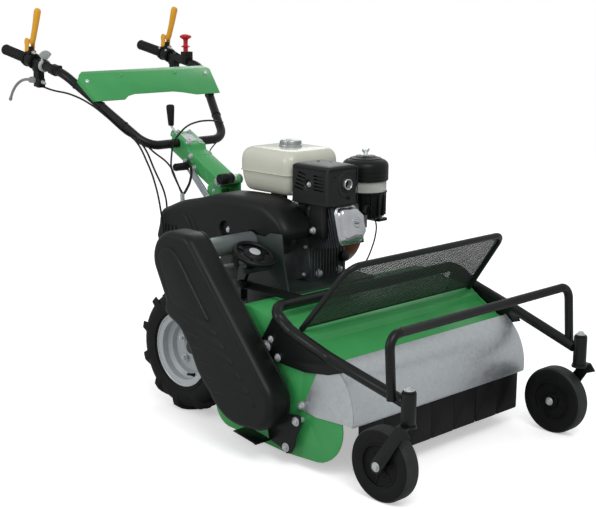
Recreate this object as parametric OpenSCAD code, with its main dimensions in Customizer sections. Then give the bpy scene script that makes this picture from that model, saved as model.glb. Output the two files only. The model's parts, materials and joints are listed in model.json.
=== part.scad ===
// Self-propelled walk-behind flail mower, millimetres, +Z up.
// The casters and the deck face -Y, the handlebar faces +Y, +X is the machine's left side.

/* [Deck] */
// Outer width over the deck's side plates
deck_w = 780; // [760:5:800]
// Thickness of the side plates
side_t = 4; // [3:0.5:6]
// Thickness of the bent deck sheets
sheet_t = 3; // [2:0.5:4]
// Rotor axis, distance ahead of the drive axle
rotor_y = -522; // [-528:1:-516]
// Rotor axis, height above the ground
rotor_z = 194; // [188:1:200]
// Radius of the rotor tube
rotor_r = 50; // [40:1:56]
// Radius of the circle cut by the flail tips
flail_r = 140; // [120:1:142]
// Radius of the front hood's curved sheet
hood_r = 176; // [172:1:180]
// Thickness of the galvanised sheet
hood_t = 2; // [1.5:0.5:2.5]
// Height of the rubber flaps
flap_h = 116; // [80:1:126]
// Number of rubber flaps in the row
flap_n = 9; // [5:1:12]

/* [Drive wheels] */
// Radius of the drive tyres
tyre_r = 202; // [198:1:206]
// Width of the drive tyres
tyre_w = 100; // [90:1:108]
// Half track, from the centre plane to the middle of a tyre
wheel_x = 272; // [268:1:278]
// Radius over the rim flanges
rim_r = 118; // [114:1:122]
// Radius of the half shafts
axle_r = 14; // [12:0.5:16]

/* [Casters] */
// Distance of the casters' planes outside the deck's side plates
caster_out = 5; // [0:1:10]
// Caster axle, distance ahead of the drive axle
caster_y = -934; // [-945:1:-925]
// Radius of the caster wheels
caster_r = 102; // [98:1:104]
// Width of the caster wheels
caster_w = 52; // [44:1:56]
// Trail, from the swivel axis back to the caster axle
trail = 77; // [70:1:84]
// Radius of the swivel stem
stem_r = 14; // [12:0.5:16]

/* [Front frame] */
// Radius of the frame tube
arm_r = 16; // [14:0.5:17]
// Distance of the arms outside the deck's side plates
arm_out = 22; // [19:1:28]
// Height of the front guard bar
hoop_z = 459; // [440:1:480]
// Radius of the guard bar tube
hoop_r = 13; // [11:0.5:15]

/* [Engine] */
// Crankshaft height above the ground
crank_z = 572; // [568:1:578]
// Crankshaft, distance ahead of the drive axle
crank_y = -215; // [-218:1:-210]
// Height of the crankshaft above the engine's base
crank_h = 132; // [130:1:134]
// Tilt of the cylinder above the horizontal
cyl_tilt = 14; // [12:1:16]
// Width of the fuel tank
tank_w = 224; // [200:1:228]
// Radius of the air filter's lid
filter_r = 73; // [66:1:75]
// Radius of the crankshaft
crank_r = 12.5; // [11:0.5:13.5]

/* [Handlebar] */
// Half distance between the grips
grip_x = 302; // [295:1:310]
// Radius of the handlebar tube
bar_r = 15; // [13:0.5:16]
// Radius of the rubber grips
grip_r = 17.5; // [17:0.5:20]
// Length of the rubber grips
grip_l = 132; // [110:1:140]
// Width of the steering column
column_w = 80; // [70:1:86]

/* [Belt drive] */
// How far the side belt cover stands out from the deck's side plate
cover_out = 108; // [102:1:115]
// Wall of the moulded covers
cover_t = 3; // [2:0.5:4]
// Pitch radius of the upper side pulley
upper_pulley_r = 38; // [36:1:42]
// Pitch radius of the rotor pulley
lower_pulley_r = 42; // [38:1:46]
// Thickness of the V-belts
belt_t = 9; // [8:0.5:10]

/* [Hidden] */
$fn = 48;

green = "#3fa45a";
black = "#26282a";
steel = "#c3c7ca";
zinc = "#aeb6b8";
ivory = "#d9d7c4";
rubber = "#1d1e1f";
cast_grey = "#4a4d50";

// Running clearance between a shaft and its hole, and the gap between parts that move apart.
touch = 0.02;
run_gap = 0.05;
gap = 0.3;

// Deck profile in the Y-Z plane.
half_w = deck_w / 2;
caster_x = half_w + caster_out;
arm_x = half_w + arm_out;
cover_x = half_w + cover_out;
back_x = half_w + 22;
side_belt_x = half_w + 65;
in_w = half_w - side_t;
deck_y = rotor_y - 56;
deck_z = rotor_z + 10;
hood_c = [deck_y - 62, deck_z - 16];
hood_pivot = [deck_y - 39, deck_z - 20];
ridge = [deck_y - 24, deck_z + 188];
plate_t = 8;
base_z = crank_z - crank_h;
plate_z = base_z - plate_t;
deck_top = plate_z - sheet_t;
deck_back = -253;

// Front frame.
pivot = [deck_y + 96, deck_z + 126];
frame_bend = [deck_y + 63, deck_z + 248];
arm_knee = [deck_y - 12, deck_z + 198];
stem_y = caster_y - trail;
crown_z = 2 * caster_r + 18;
crown_t = 8;
sleeve_z = crown_z + crown_t + gap;
sleeve_h = 86;
sleeve_r = stem_r + 6;
arm_end_z = sleeve_z + 52;
fork_t = 6;
fork_gap = 4;
caster_axle_r = 8;
bolt_head_h = 7;
wing_l = 36;
fork_x = caster_w / 2 + fork_gap;
gusset_t = 5;
gusset_x = half_w + hood_t + 3.5;
nut_y = crank_y - 47;
nut_z = deck_top + 28;
lever_x = -285;

// Engine.
plate_x = -206;
cyl_x = -20;
head_l = 172;
cover_l = 236;
dome_l = 262;
tank_x = -1;
tank_z = crank_z + 128;
tank_h = 141;
tank_y = [crank_y - 67, crank_y + 170];
filter_c = [160, crank_y - 128];
carb_c = [70, crank_y - 178, crank_z + 52];
filter_z = crank_z + 45;
band_z = crank_z + 133;
band_h = 33;
lid_h = 78;
shroud_x = 92;
shroud_w = 68;
starter_r = 86;
flywheel_r = 62;
shroud_r = 122;

// Belt drives.
back_t = 4;
belt_w = 13;
pulley_w = 30;
main_belt_x = 150;
engine_pulley_r = 48;
input_pulley_r = 60;
input_yz = [88, crank_z - 2];
main_cover_x = [92, -plate_x - gap];
tube_r = 30;
tube_wall = 3;
rotor_stub_r = 15;
input_r = 12;
idler_r = 25;
belt_u = unit([rotor_y - crank_y, rotor_z - crank_z]);
idler_out = (upper_pulley_r + lower_pulley_r) / 2 + belt_t + idler_r + 3 * gap;
idler_yz = [crank_y + rotor_y, crank_z + rotor_z] / 2 + idler_out * [-belt_u.y, belt_u.x];
idler_pivot = [rotor_y + 148, rotor_z - 4];

// Gearbox and column.
gear_x = 58;
gear_y = [-75, 100];
tower_y = [8, 112];
tower_top = crank_z + 56;
base_half = column_w / 2 + gap + 6;
col_pivot = [122, crank_z + 128];
col_angle = 27.4;
col_l = 278;
col_h = 48;
col_wall = 4;
strut_low = [168, tower_top + 10];
strut_top = [272, 736];
gear_pivot = col_pivot + [(col_l + 13) * cos(col_angle) + 2 * sin(col_angle),
    (col_l + 13) * sin(col_angle) - 2 * cos(col_angle)];

// Handlebar route, right half, from the middle of the base bar to the end of the grip.
bar_mid = [0, 338, 806];
bar_corner = [-170, 338, 806];
bar_high = [-grip_x, 618, 1036];
bar_end = [-grip_x, 970, 1102];
bar_dir = unit(bar_end - bar_high);

// Routes of the control cables, from the controls down to the tractor.
cable_r = 3;
cable_routes = [
    [[-302, 749, 1000], [-294, 660, 960], [-275, 540, 925], [-235, 440, 865], [-215, 380, 760],
        [-205, 330, 660],
        [-202, 300, 580]],
    [[-308, 749, 1030], [-308, 660, 990], [-285, 560, 930], [-240, 455, 862], [-180, 370, 780],
        [-140, 330, 720],
        [-105, 240, 640]],
    [[302, 749, 1030], [300, 660, 990], [272, 560, 935], [225, 440, 840], [160, 415, 830], [60, 470, 900],
        [-60, 430, 850], [-90, 300, 740], [-80, 220, 650]]];

// Shift that puts the origin under the middle of the whole machine.
bolt_x = caster_x + fork_x + fork_t + bolt_head_h;
grip_cap = 3;
grip_tip_y = bar_end.y + grip_cap * bar_dir.y + grip_r * bar_dir.z;
front_y = min(caster_y - caster_r, stem_y - wing_l);
origin_shift = [(cover_x - bolt_x) / 2, -(front_y + grip_tip_y) / 2, 0];

function unit(v) = v / norm(v);
function flip(p) = [-p.x, p.y, p.z];
function perp(a, b) = let (d = unit(b - a)) [-d.y, d.x];
// Points of an outline moved sideways by d at each corner, for a closed loop.
function inset(p, d) = let (n = len(p)) [for (i = [0:n - 1])
    let (u = perp(p[(i + n - 1) % n], p[i]), v = perp(p[i], p[(i + 1) % n]))
    p[i] + d * (u + v) / (1 + u * v)];
// Points of an open line moved sideways by d.
function beside(p, d) = let (n = len(p)) [for (i = [0:n - 1])
    let (u = perp(p[max(i - 1, 0)], p[max(i, 1)]), v = perp(p[min(i, n - 2)], p[min(i + 1, n - 1)]))
    p[i] + d * (u + v) / (1 + u * v)];
function strip(p, t) = concat(p, [for (q = [len(p) - 1:-1:0]) beside(p, t)[q]]);
function arc(c, r, a0, a1, n) = [for (i = [0:n]) c + r * [cos(a0 + (a1 - a0) * i / n),
    sin(a0 + (a1 - a0) * i / n)]];
// Outline of a belt round two circles.
function belt(c1, r1, c2, r2) = let (d = c2 - c1, a = atan2(d.y, d.x), b = acos((r1 - r2) / norm(d)))
    concat(arc(c1, r1, a + b, a + 360 - b, 20), arc(c2, r2, a - b, a + b, 20));

module place() {
    translate(origin_shift) children();
}

module along_x(x0, x1) {
    translate([x0, 0, 0]) rotate([90, 0, 90]) linear_extrude(height = x1 - x0) children();
}

module rod_x(x0, x1, c, r) {
    translate([x0, c[0], c[1]]) rotate([0, 90, 0]) cylinder(r = r, h = x1 - x0);
}

module lathe_x(x, c, points) {
    translate([x, c[0], c[1]]) rotate([0, 90, 0]) rotate_extrude() polygon(points);
}

module rod(a, b, r) {
    d = b - a;
    translate(a) rotate([0, acos(d.z / norm(d)), atan2(d.y, d.x)]) cylinder(r = r, h = norm(d));
}

// Round bar through the points p, with each corner bent to the radius bend[i]. The straights run
// 1 mm into the bends, which are 0.1 mm thicker.
module bent_bar(p, bend, r) {
    n = len(p);
    u = [for (i = [0:n - 2]) unit(p[i + 1] - p[i])];
    turn = [for (i = [1:n - 2]) acos(u[i - 1] * u[i])];
    back = [for (i = [0:n - 3]) bend[i] * tan(turn[i] / 2)];
    for (i = [0:n - 2])
        rod(p[i] + (i == 0 ? 0 : back[i - 1] - 1) * u[i],
            p[i + 1] - (i == n - 2 ? 0 : back[i] - 1) * u[i], r);
    for (i = [0:n - 3]) {
        side = unit(u[i + 1] - (u[i + 1] * u[i]) * u[i]);
        k = cross(u[i], side);
        c = p[i + 1] - back[i] * u[i] + bend[i] * side;
        multmatrix([[-side.x, u[i].x, k.x, c.x], [-side.y, u[i].y, k.y, c.y],
                [-side.z, u[i].z, k.z, c.z], [0, 0, 0, 1]])
            rotate_extrude(angle = turn[i]) translate([bend[i], 0]) circle(r = r + 0.1);
    }
}

// Turns a flat plate's own Y to the direction up, from the point p of the Y-Z plane.
module lean(p, up) {
    multmatrix([[1, 0, 0, 0], [0, up.y, -up.z, p.x], [0, up.z, up.y, p.y], [0, 0, 0, 1]]) children();
}

module both_sides() {
    children();
    mirror([1, 0, 0]) children();
}

// ---------------------------------------------------------------- deck

deck_line = [[deck_y - 157, deck_z + 114], [deck_y - 50, deck_z + 156], [deck_y - 48, deck_z + 176],
    ridge, [-400, deck_top], [-372, deck_top], [deck_back, deck_top - 100], [deck_back, 110]];
side_outline = concat(
    arc([deck_y - 88, 142], 110, 180, 262, 8), [[deck_y + 20, 28]],
    arc([-320, 112], 68, 280, 360, 6), [[deck_back + sheet_t, deck_top - 100]],
    [[-370, deck_top], [-400, deck_top + 4], ridge + [0, 4], [deck_y - 52, deck_z + 172],
        [deck_y - 120, deck_z + 132], [deck_y - 180, deck_z + 80]]);

module deck_shell() {
    color(green) along_x(-in_w, in_w) polygon(strip(deck_line, sheet_t));
}

module deck_sides() {
    color(green) both_sides() difference() {
        along_x(in_w, half_w) polygon(side_outline);
        rod_x(in_w - 1, half_w + 1, [rotor_y, rotor_z], rotor_stub_r + 3);
        rod_x(in_w - 1, half_w + 1, pivot, 8 + run_gap);
        rod_x(in_w - 1, half_w + 1, hood_pivot, 5 + run_gap);
    }
}

cap_x = half_w + 0.5;
cap_outline = concat(arc(hood_pivot, 11, -80, 60, 6), [hood_pivot + [-60, 110]],
    arc(hood_c, hood_r - hood_t / 2, 130, 186, 8), [hood_pivot + [-60, -20]]);

module front_hood() {
    color(zinc) {
        along_x(-cap_x - hood_t, cap_x + hood_t) polygon(strip(arc(hood_c, hood_r, 186, 123, 14), -hood_t));
        both_sides() difference() {
            along_x(cap_x, cap_x + hood_t) polygon(cap_outline);
            rod_x(cap_x - 1, cap_x + hood_t + 1, hood_pivot, 5 + run_gap);
        }
    }
}

flap_w = 2 * (caster_x - caster_w / 2 - 4);
flap_pitch = flap_w / flap_n;
flap_y = hood_c[0] - hood_r + hood_t + 1.2;
flap_top = hood_c[1] - hood_r * sin(6) + 18;

module rubber_flaps() {
    color(rubber) for (i = [0:flap_n - 1])
        translate([-flap_w / 2 + i * flap_pitch, flap_y, flap_top - flap_h - 18])
            cube([flap_pitch - 2, 4, flap_h + 18]);
}

// ---------------------------------------------------------------- rotor

module rotor() {
    color(steel) {
        rod_x(-in_w + 14, in_w - 14, [rotor_y, rotor_z], rotor_r);
        rod_x(-side_belt_x - 22, half_w + 24, [rotor_y, rotor_z], rotor_stub_r);
    }
}

flail_rows = 4;
flails_in_row = 4;

module flails() {
    pitch = (2 * in_w - 90) / (flail_rows * flails_in_row - 1);
    color("#5b5f62") for (i = [0:flail_rows * flails_in_row - 1])
        translate([-in_w + 45 + i * pitch, rotor_y, rotor_z])
            rotate([90 * (i % flail_rows) + 45, 0, 0])
            along_x(-18, 18) polygon([[-9, rotor_r + 0.5], [9, rotor_r + 0.5], [7, flail_r - 34],
                [20, flail_r - 6], [0, flail_r], [-20, flail_r - 6], [-7, flail_r - 34]]);
}

module pulley(x, c, r, bore, w) {
    lathe_x(x, c, [[bore, -w / 2], [r + 6, -w / 2], [r, -w / 2 + 8], [r, w / 2 - 8], [r + 6, w / 2],
        [bore, w / 2]]);
}

module rotor_pulley() {
    color(cast_grey)
        pulley(-side_belt_x, [rotor_y, rotor_z], lower_pulley_r, rotor_stub_r + run_gap, pulley_w);
}

module shaft_bearings() {
    color("#3c3f42") {
        both_sides() lathe_x(half_w, [rotor_y, rotor_z], [[rotor_stub_r + run_gap, 0], [30, 0], [30, 9],
            [26, 12], [26, back_x - half_w], [rotor_stub_r + run_gap, back_x - half_w]]);
        for (x = [plate_x - 20, -back_x + 12])
            lathe_x(x, [crank_y, crank_z], [[crank_r + run_gap, -7], [tube_r - tube_wall - run_gap, -7],
                [tube_r - tube_wall - run_gap, 7], [crank_r + run_gap, 7]]);
    }
}

// ---------------------------------------------------------------- side belt drive

cover_top = [crank_y + 50, crank_z - 27];
cover_low = [rotor_y + 12, rotor_z - 4];
cover_outline = concat(
    arc(cover_top, 85, 90, -25, 9),
    [[crank_y + 90, crank_z - 133], [crank_y + 77, crank_z - 164], [crank_y + 82, crank_z - 188],
        [crank_y + 63, crank_z - 206], [crank_y + 31, crank_z - 220], [crank_y + 5, crank_z - 241],
        [crank_y - 32, crank_z - 291], [rotor_y + 242, rotor_z + 29]],
    arc([rotor_y + 60, rotor_z + 68], 158, -34, -94, 7), arc(cover_low, 86, 250, 137, 9),
    arc([crank_y, crank_z], 58, 134, 100, 4));

module cover_stack(outline) {
    along_x(-cover_x + 12, -back_x - back_t) polygon(outline);
    along_x(-cover_x + 5, -cover_x + 12) polygon(inset(outline, -3));
    along_x(-cover_x, -cover_x + 5) polygon(inset(outline, -10));
}

module side_belt_cover() {
    color(black) difference() {
        cover_stack(cover_outline);
        along_x(-cover_x + 12 + cover_t, -back_x - back_t + 1) polygon(inset(cover_outline, -cover_t));
        along_x(-cover_x + cover_t, -cover_x + 13 + cover_t) polygon(inset(cover_outline, -10 - cover_t));
    }
}

foot = [[rotor_y + 22, rotor_z - 70], [rotor_y + 10, rotor_z - 130], [deck_y + 22, deck_z - 151],
    [deck_y - 6, deck_z - 164], [deck_y - 26, deck_z - 158], [deck_y - 38, deck_z - 135],
    [deck_y - 43, deck_z - 104], [deck_y - 61, deck_z - 70], [deck_y - 59, deck_z - 38],
    [deck_y - 17, deck_z - 44]];
foot_bolts = [[deck_y - 42, deck_z - 60], [deck_y - 3, deck_z - 146]];
wing = [[rotor_y + 8, rotor_z - 131], [rotor_y + 22, rotor_z - 127], [rotor_y + 103, rotor_z - 114]];
wing_w = 58;

module belt_back_plate() {
    color(black) difference() {
        union() {
            along_x(-back_x - back_t, -back_x) polygon(inset(cover_outline, -1));
            along_x(-back_x - back_t, -back_x) polygon(foot);
            along_x(-back_x - wing_w, -back_x) polygon(strip(wing, -back_t));
        }
        rod_x(-back_x - back_t - 1, -back_x + 1, [rotor_y, rotor_z], rotor_stub_r + 3);
        rod_x(-back_x - back_t - 1, -back_x + 1, [crank_y, crank_z], crank_r + 3);
        rod_x(-back_x - back_t - 1, -back_x + 1, idler_pivot, 6 + run_gap);
    }
}

module belt_loop(x, c1, r1, c2, r2) {
    along_x(x - belt_w / 2, x + belt_w / 2) difference() {
        polygon(belt(c1, r1 + gap + belt_t, c2, r2 + gap + belt_t));
        polygon(belt(c1, r1 + gap, c2, r2 + gap));
    }
}

module drive_belts() {
    color(rubber) {
        belt_loop(-side_belt_x, [crank_y, crank_z], upper_pulley_r, [rotor_y, rotor_z], lower_pulley_r);
        belt_loop(-main_belt_x, [crank_y, crank_z], engine_pulley_r, input_yz, input_pulley_r);
    }
}

module tension_idler() {
    color(cast_grey) {
        rod_x(-side_belt_x - 10, -side_belt_x + 10, idler_yz, idler_r);
        difference() {
            union() {
                along_x(-side_belt_x + 12, -side_belt_x + 18)
                    polygon(belt(idler_pivot, 13, idler_yz, 13));
                rod_x(-side_belt_x + 10, -side_belt_x + 12, idler_yz, 9);
                rod_x(-side_belt_x + 18, -back_x - back_t - gap, idler_pivot, 10);
            }
            rod_x(-side_belt_x, -back_x, idler_pivot, 6 + run_gap);
        }
    }
}

module cross_tube() {
    color(zinc) {
        difference() {
            union() {
                rod_x(-back_x, plate_x - 6, [crank_y, crank_z], tube_r);
                rod_x(-back_x, -back_x + 6, [crank_y, crank_z], tube_r + 20);
            }
            rod_x(-back_x - 1, plate_x, [crank_y, crank_z], tube_r - tube_wall);
        }
        rod_x(-back_x + 24, plate_x - 6, [crank_y, crank_z - 62], 7);
        rod_x(-back_x + 18, -back_x + 24, [crank_y, crank_z - 62], 11);
    }
}

// ---------------------------------------------------------------- chassis

bracket = [[crank_y - 165, plate_z + 2], [crank_y + 66, plate_z + 2], [crank_y + 34, crank_z + 22],
    [crank_y - 60, crank_z + 22], [crank_y - 84, crank_z + 36], [crank_y - 134, crank_z + 38],
    [crank_y - 140, crank_z - 40]];
screw_dir = [0, -0.42, 0.9075];
nut_c = [lever_x, nut_y, nut_z];
collar_c = nut_c + 52 * screw_dir;

module chassis_frame() {
    color("#2b3a33") {
        difference() {
            union() {
                translate([plate_x, -400, plate_z]) cube([150 - plate_x, 380, plate_t]);
                translate([plate_x - 6, crank_y - 165, plate_z + 2]) cube([6, 231, plate_t - 2]);
                along_x(plate_x - 6, plate_x) polygon(bracket);
                both_sides() translate([90, deck_back + 3, 300])
                    cube([8, gear_y[0] - deck_back - 3, plate_z - 300]);
                translate([lever_x - 16, collar_c.y - 10, collar_c.z - 10])
                    cube([plate_x - lever_x + 10, 24, 14]);
            }
            rod_x(plate_x - 7, plate_x + 1, [crank_y, crank_z], crank_r + 3);
            rod(nut_c, nut_c + 90 * screw_dir, 6 + run_gap);
        }
    }
}

module handwheel() {
    hub = nut_c + 100 * screw_dir;
    color(black) {
        rod(nut_c - 14 * screw_dir, hub, 6);
        rod(collar_c + 10.6 * screw_dir, collar_c + 16 * screw_dir, 12);
        translate(hub) rotate([atan2(-screw_dir.y, screw_dir.z), 0, 0]) {
            rotate_extrude() translate([58, 8]) circle(r = 8);
            difference() {
                cylinder(r = 18, h = 16);
                translate([0, 0, 10]) cylinder(r = 8, h = 7);
            }
            for (a = [0:120:240]) rotate([0, 0, a]) translate([16, -6, 5]) cube([36, 12, 6]);
        }
    }
}

// ---------------------------------------------------------------- gearbox and wheels

module gearbox() {
    color("#565b5f") difference() {
        union() {
            translate([-gear_x, gear_y[0], 130]) cube([2 * gear_x, gear_y[1] - gear_y[0], 190]);
            rod_x(-gear_x, gear_x, [0, tyre_r], 88);
            translate([-gear_x + 8, tower_y[0], 300])
                cube([2 * gear_x - 16, tower_y[1] - tower_y[0], tower_top - 300]);
            rod_x(-238, 238, [0, tyre_r], 30);
            both_sides() translate([gear_x - 1, gear_y[0], 300]) cube([41, 12, 40]);
        }
        rod_x(-240, 240, [0, tyre_r], axle_r + run_gap);
        rod_x(-gear_x, 0, input_yz, input_r + run_gap);
    }
}

module gearbox_pulley() {
    color(cast_grey) {
        pulley(-main_belt_x, input_yz, input_pulley_r, 0, pulley_w);
        rod_x(-main_belt_x, -4, input_yz, input_r);
    }
}

module wheel(side) {
    mirror([side < 0 ? 1 : 0, 0, 0]) translate([wheel_x, 0, 0]) children();
}

bead = rim_r - 17;

module tyre(side) {
    s = tyre_w / 2;
    color(rubber) wheel(side) lathe_x(0, [0, tyre_r], [[bead + gap, -33], [rim_r - 6, -33], [rim_r, -36],
        [rim_r + 6, -s + 4], [bead + 40, -s], [tyre_r - 20, -s + 1], [tyre_r - 4, -s + 10],
        [tyre_r, -s + 26], [tyre_r, s - 26], [tyre_r - 4, s - 10], [tyre_r - 20, s - 1], [bead + 40, s],
        [rim_r + 6, s - 4], [rim_r, 36], [rim_r - 6, 33], [bead + gap, 33], [bead + gap, 22], [bead + 20, 28],
        [tyre_r - 26, 36], [tyre_r - 16, 0], [tyre_r - 26, -36], [bead + 20, -28], [bead + gap, -22]]);
}

module rim(side) {
    color("#aab0b2") wheel(side) lathe_x(0, [0, tyre_r], [[rim_r, 42], [rim_r, 38], [rim_r - 5, 34 - gap],
        [bead, 34 - gap], [bead, 16], [bead - 16, 8], [bead - 16, -16], [bead, -22], [bead, -34 + gap],
        [rim_r - 5, -34 + gap], [rim_r, -38], [rim_r, -42], [rim_r - 6, -40], [bead - 3, -38],
        [bead - 4, -24], [bead - 20, -18], [bead - 22, -9], [42, -9], [34, -15], [axle_r + 8, -15],
        [axle_r + 8, -11], [33, -11], [41, -5], [bead - 22, -5], [bead - 19, 10], [bead - 4, 18],
        [bead - 3, 38], [rim_r - 6, 40]]);
}

module half_shaft(side) {
    color(steel) wheel(side) lathe_x(0, [0, tyre_r], [[0, -wheel_x + gear_x - 40],
        [axle_r, -wheel_x + gear_x - 40], [axle_r, -33], [38, -33], [38, -24], [30, -15 - gap / 3],
        [axle_r + 7, -15], [axle_r + 7, 4], [0, 4]]);
}

// ---------------------------------------------------------------- front frame and casters

gusset = concat(arc(pivot, 30, 60, -110, 10), [[deck_y + 20, deck_z + 88], [deck_y - 60, deck_z + 84],
    [deck_y - 150, deck_z + 96], [deck_y - 210, deck_z + 116], arm_knee + [-180, -48], arm_knee + [-40, -8],
    frame_bend + [-4, -12]]);

function arm_route(s) = [[s * (caster_x - 8), stem_y + sleeve_r - 4, arm_end_z],
    [s * arm_x, deck_y - 160, deck_z + 152],
    [s * arm_x, arm_knee.x, arm_knee.y], [s * arm_x, frame_bend.x, frame_bend.y]];
hoop_foot = [arm_x - 4, stem_y + 48, arm_end_z + 4];

module front_frame() {
    color(black) {
        difference() {
            union() {
                bent_bar(concat(arm_route(-1), [for (i = [3:-1:0]) arm_route(1)[i]]),
                    [200, 90, 44, 44, 90, 200], arm_r);
                bent_bar([flip(hoop_foot), [-arm_x + 4, stem_y + 60, hoop_z], [arm_x - 4, stem_y + 60, hoop_z],
                    hoop_foot], [38, 38], hoop_r);
                both_sides() {
                    translate([caster_x, stem_y, sleeve_z]) cylinder(r = sleeve_r, h = sleeve_h);
                    along_x(gusset_x, gusset_x + gusset_t) polygon(gusset);
                }
                along_x(lever_x - 4, lever_x + 4) polygon([[frame_bend.x - 8, frame_bend.y - 10],
                    [nut_y + 16, nut_z - 12], [nut_y + 16, nut_z + 12], [frame_bend.x - 8, frame_bend.y + 14]]);
                translate([lever_x - 17, nut_y - 17, nut_z - 9]) cube([34, 34, 18]);
            }
            both_sides() {
                translate([caster_x, stem_y, sleeve_z - 1]) cylinder(r = stem_r + run_gap, h = sleeve_h + 2);
                rod_x(gusset_x - 1, gusset_x + gusset_t + 1, pivot, 8 + run_gap);
            }
            rod(nut_c - 40 * screw_dir, nut_c + 30 * screw_dir, 9);
        }
    }
}

module caster_fork(side) {
    color(black) mirror([side < 0 ? 1 : 0, 0, 0]) translate([caster_x, 0, 0]) {
        translate([0, stem_y, crown_z]) cylinder(r = sleeve_r + 3, h = crown_t);
        translate([0, stem_y, crown_z]) cylinder(r = stem_r, h = crown_t + sleeve_h + 6);
        translate([0, stem_y, sleeve_z + sleeve_h + gap]) cylinder(r = sleeve_r - 2, h = 4);
        translate([0, stem_y - 18, crown_z]) cube([fork_x + fork_t, 36, crown_t]);
        along_x(fork_x, fork_x + fork_t)
            polygon(belt([caster_y, caster_r], 20, [stem_y + 2, crown_z - 8], 17));
        along_x(fork_x, fork_x + fork_t) polygon([[stem_y - 18, crown_z + crown_t], [stem_y - wing_l, crown_z - 14],
            [stem_y - 6, crown_z - 26], [stem_y + 18, crown_z + crown_t]]);
        rod_x(-fork_x, fork_x + fork_t + bolt_head_h, [caster_y, caster_r], caster_axle_r);
        rod_x(fork_x + fork_t, fork_x + fork_t + bolt_head_h, [caster_y, caster_r], caster_axle_r + 5);
        rod_x(-fork_x - 1, -caster_w / 2 - gap, [caster_y, caster_r], caster_axle_r + 5);
    }
}

module caster_wheel(side) {
    w = caster_w / 2;
    color(rubber) mirror([side < 0 ? 1 : 0, 0, 0]) lathe_x(caster_x, [caster_y, caster_r],
        [[caster_axle_r + run_gap, -w + 2], [20, -w + 2], [20, -w + 12], [caster_r * 0.56, -w + 10],
        [caster_r * 0.6, -w + 2], [caster_r - 14, -w], [caster_r - 5, -w + 2], [caster_r, -w + 8],
        [caster_r, w - 8], [caster_r - 5, w - 2], [caster_r - 14, w], [caster_r * 0.6, w - 2],
        [caster_r * 0.56, w - 10], [20, w - 12], [20, w - 2], [caster_axle_r + run_gap, w - 2]]);
}

// ---------------------------------------------------------------- mesh guard

guard_low = ridge + [2, sheet_t + 4.2];
guard_top = [deck_y - 172, deck_z + 393];
guard_r = 9;

module mesh_guard() {
    foot_x = in_w - guard_r - 1;
    top_x = in_w - 41;
    route = [[-foot_x, guard_low.x, guard_low.y], [-top_x, guard_top.x, guard_top.y],
        [top_x, guard_top.x, guard_top.y], [foot_x, guard_low.x, guard_low.y]];
    up = unit([0, guard_top.x - guard_low.x, guard_top.y - guard_low.y]);
    h = norm([guard_top.x - guard_low.x, guard_top.y - guard_low.y]);
    color(black) {
        bent_bar(route, [46, 46], guard_r);
        lean(guard_low, up) translate([0, 0, -1]) linear_extrude(height = 2)
            polygon([[-foot_x, 0], [-top_x - 5, h - 30], [-top_x + 20, h - 2], [top_x - 20, h - 2],
                [top_x + 5, h - 30], [foot_x, 0]]);
    }
}

// ---------------------------------------------------------------- engine

module cyl_frame() {
    translate([cyl_x, crank_y, crank_z]) rotate([-cyl_tilt, 0, 0]) children();
}

module crankcase() {
    color("#4d5356") difference() {
        union() {
            translate([-72, crank_y - 112, base_z]) cube([164, 220, 186]);
            cyl_frame() translate([-50, -head_l + 2, -52]) cube([100, 110, 104]);
            cyl_frame() for (i = [0:4]) translate([-60, -head_l + 6 + 9 * i, -60]) cube([120, 3, 120]);
            rod_x(-86, -71, [crank_y, crank_z], 46);
            translate([-60, crank_y - 90, base_z + 185]) cube([140, 180, 25]);
            for (x = [-50, 50]) translate([x - 8, crank_y + 15, base_z + 209])
                cube([16, 60, tank_z - base_z - 209]);
        }
        rod_x(-90, 100, [crank_y, crank_z], crank_r + run_gap);
    }
}

module cylinder_head() {
    color("#3f4447") cyl_frame() {
        translate([-54, -cover_l, -54]) cube([108, cover_l - head_l, 108]);
        for (i = [0:5]) translate([-60, -cover_l + 6 + 10 * i, -60]) cube([120, 4, 120]);
    }
}

module head_cover() {
    hexa = [[-44, -58], [30, -58], [58, -30], [58, 28], [26, 58], [-44, 58], [-58, 42], [-58, -42]];
    color(steel) cyl_frame() rotate([90, 0, 0]) translate([0, 0, cover_l + 0.2]) {
        linear_extrude(height = 5) polygon(hexa);
        linear_extrude(height = 16) polygon(inset(hexa, 5));
        linear_extrude(height = dome_l - cover_l - 4) polygon(inset(hexa, 13));
        cylinder(r = 14, h = dome_l - cover_l);
    }
}

shield_lo = [-112, crank_y - 227, crank_z + 123];
shield_hi = [14, crank_y - 73, crank_z + 236];
outlet = [(shield_lo.x + shield_hi.x) / 2 + 20, shield_lo.y, crank_z + 182];

module muffler() {
    color("#3a3a3a") difference() {
        union() {
            translate(shield_lo + [10, 12, 8]) cube(shield_hi - shield_lo - [20, 24, 18]);
            rod_x(shield_lo.x + 2, shield_lo.x + 11, [shield_lo.y + 77, shield_lo.z + 60], 7);
            translate([cyl_x - 82, shield_lo.y + 20, crank_z + 30]) cube([21.5, 40, 110]);
            translate([outlet.x, shield_lo.y - 5, outlet.z]) rotate([-90, 0, 0]) cylinder(r = 16, h = 30);
        }
        translate([outlet.x, shield_lo.y - 6, outlet.z]) rotate([-90, 0, 0]) cylinder(r = 13, h = 36);
    }
}

module muffler_shield() {
    color(black) difference() {
        union() {
            translate(shield_lo) cube(shield_hi - shield_lo);
            translate(shield_lo + [8, 8, 0]) cube(shield_hi - shield_lo + [-16, -16, 7]);
        }
        translate(shield_lo + [2, 2, -1]) cube(shield_hi - shield_lo - [4, 4, 1]);
        translate([outlet.x, shield_lo.y - 1, outlet.z]) rotate([-90, 0, 0]) cylinder(r = 17, h = 4);
        for (i = [0:4], j = [0, 1])
            translate([shield_lo.x - 1, shield_lo.y + 20 + 78 * j, shield_lo.z + 34 + 15 * i])
                cube([4, 36, 6]);
    }
}

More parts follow.
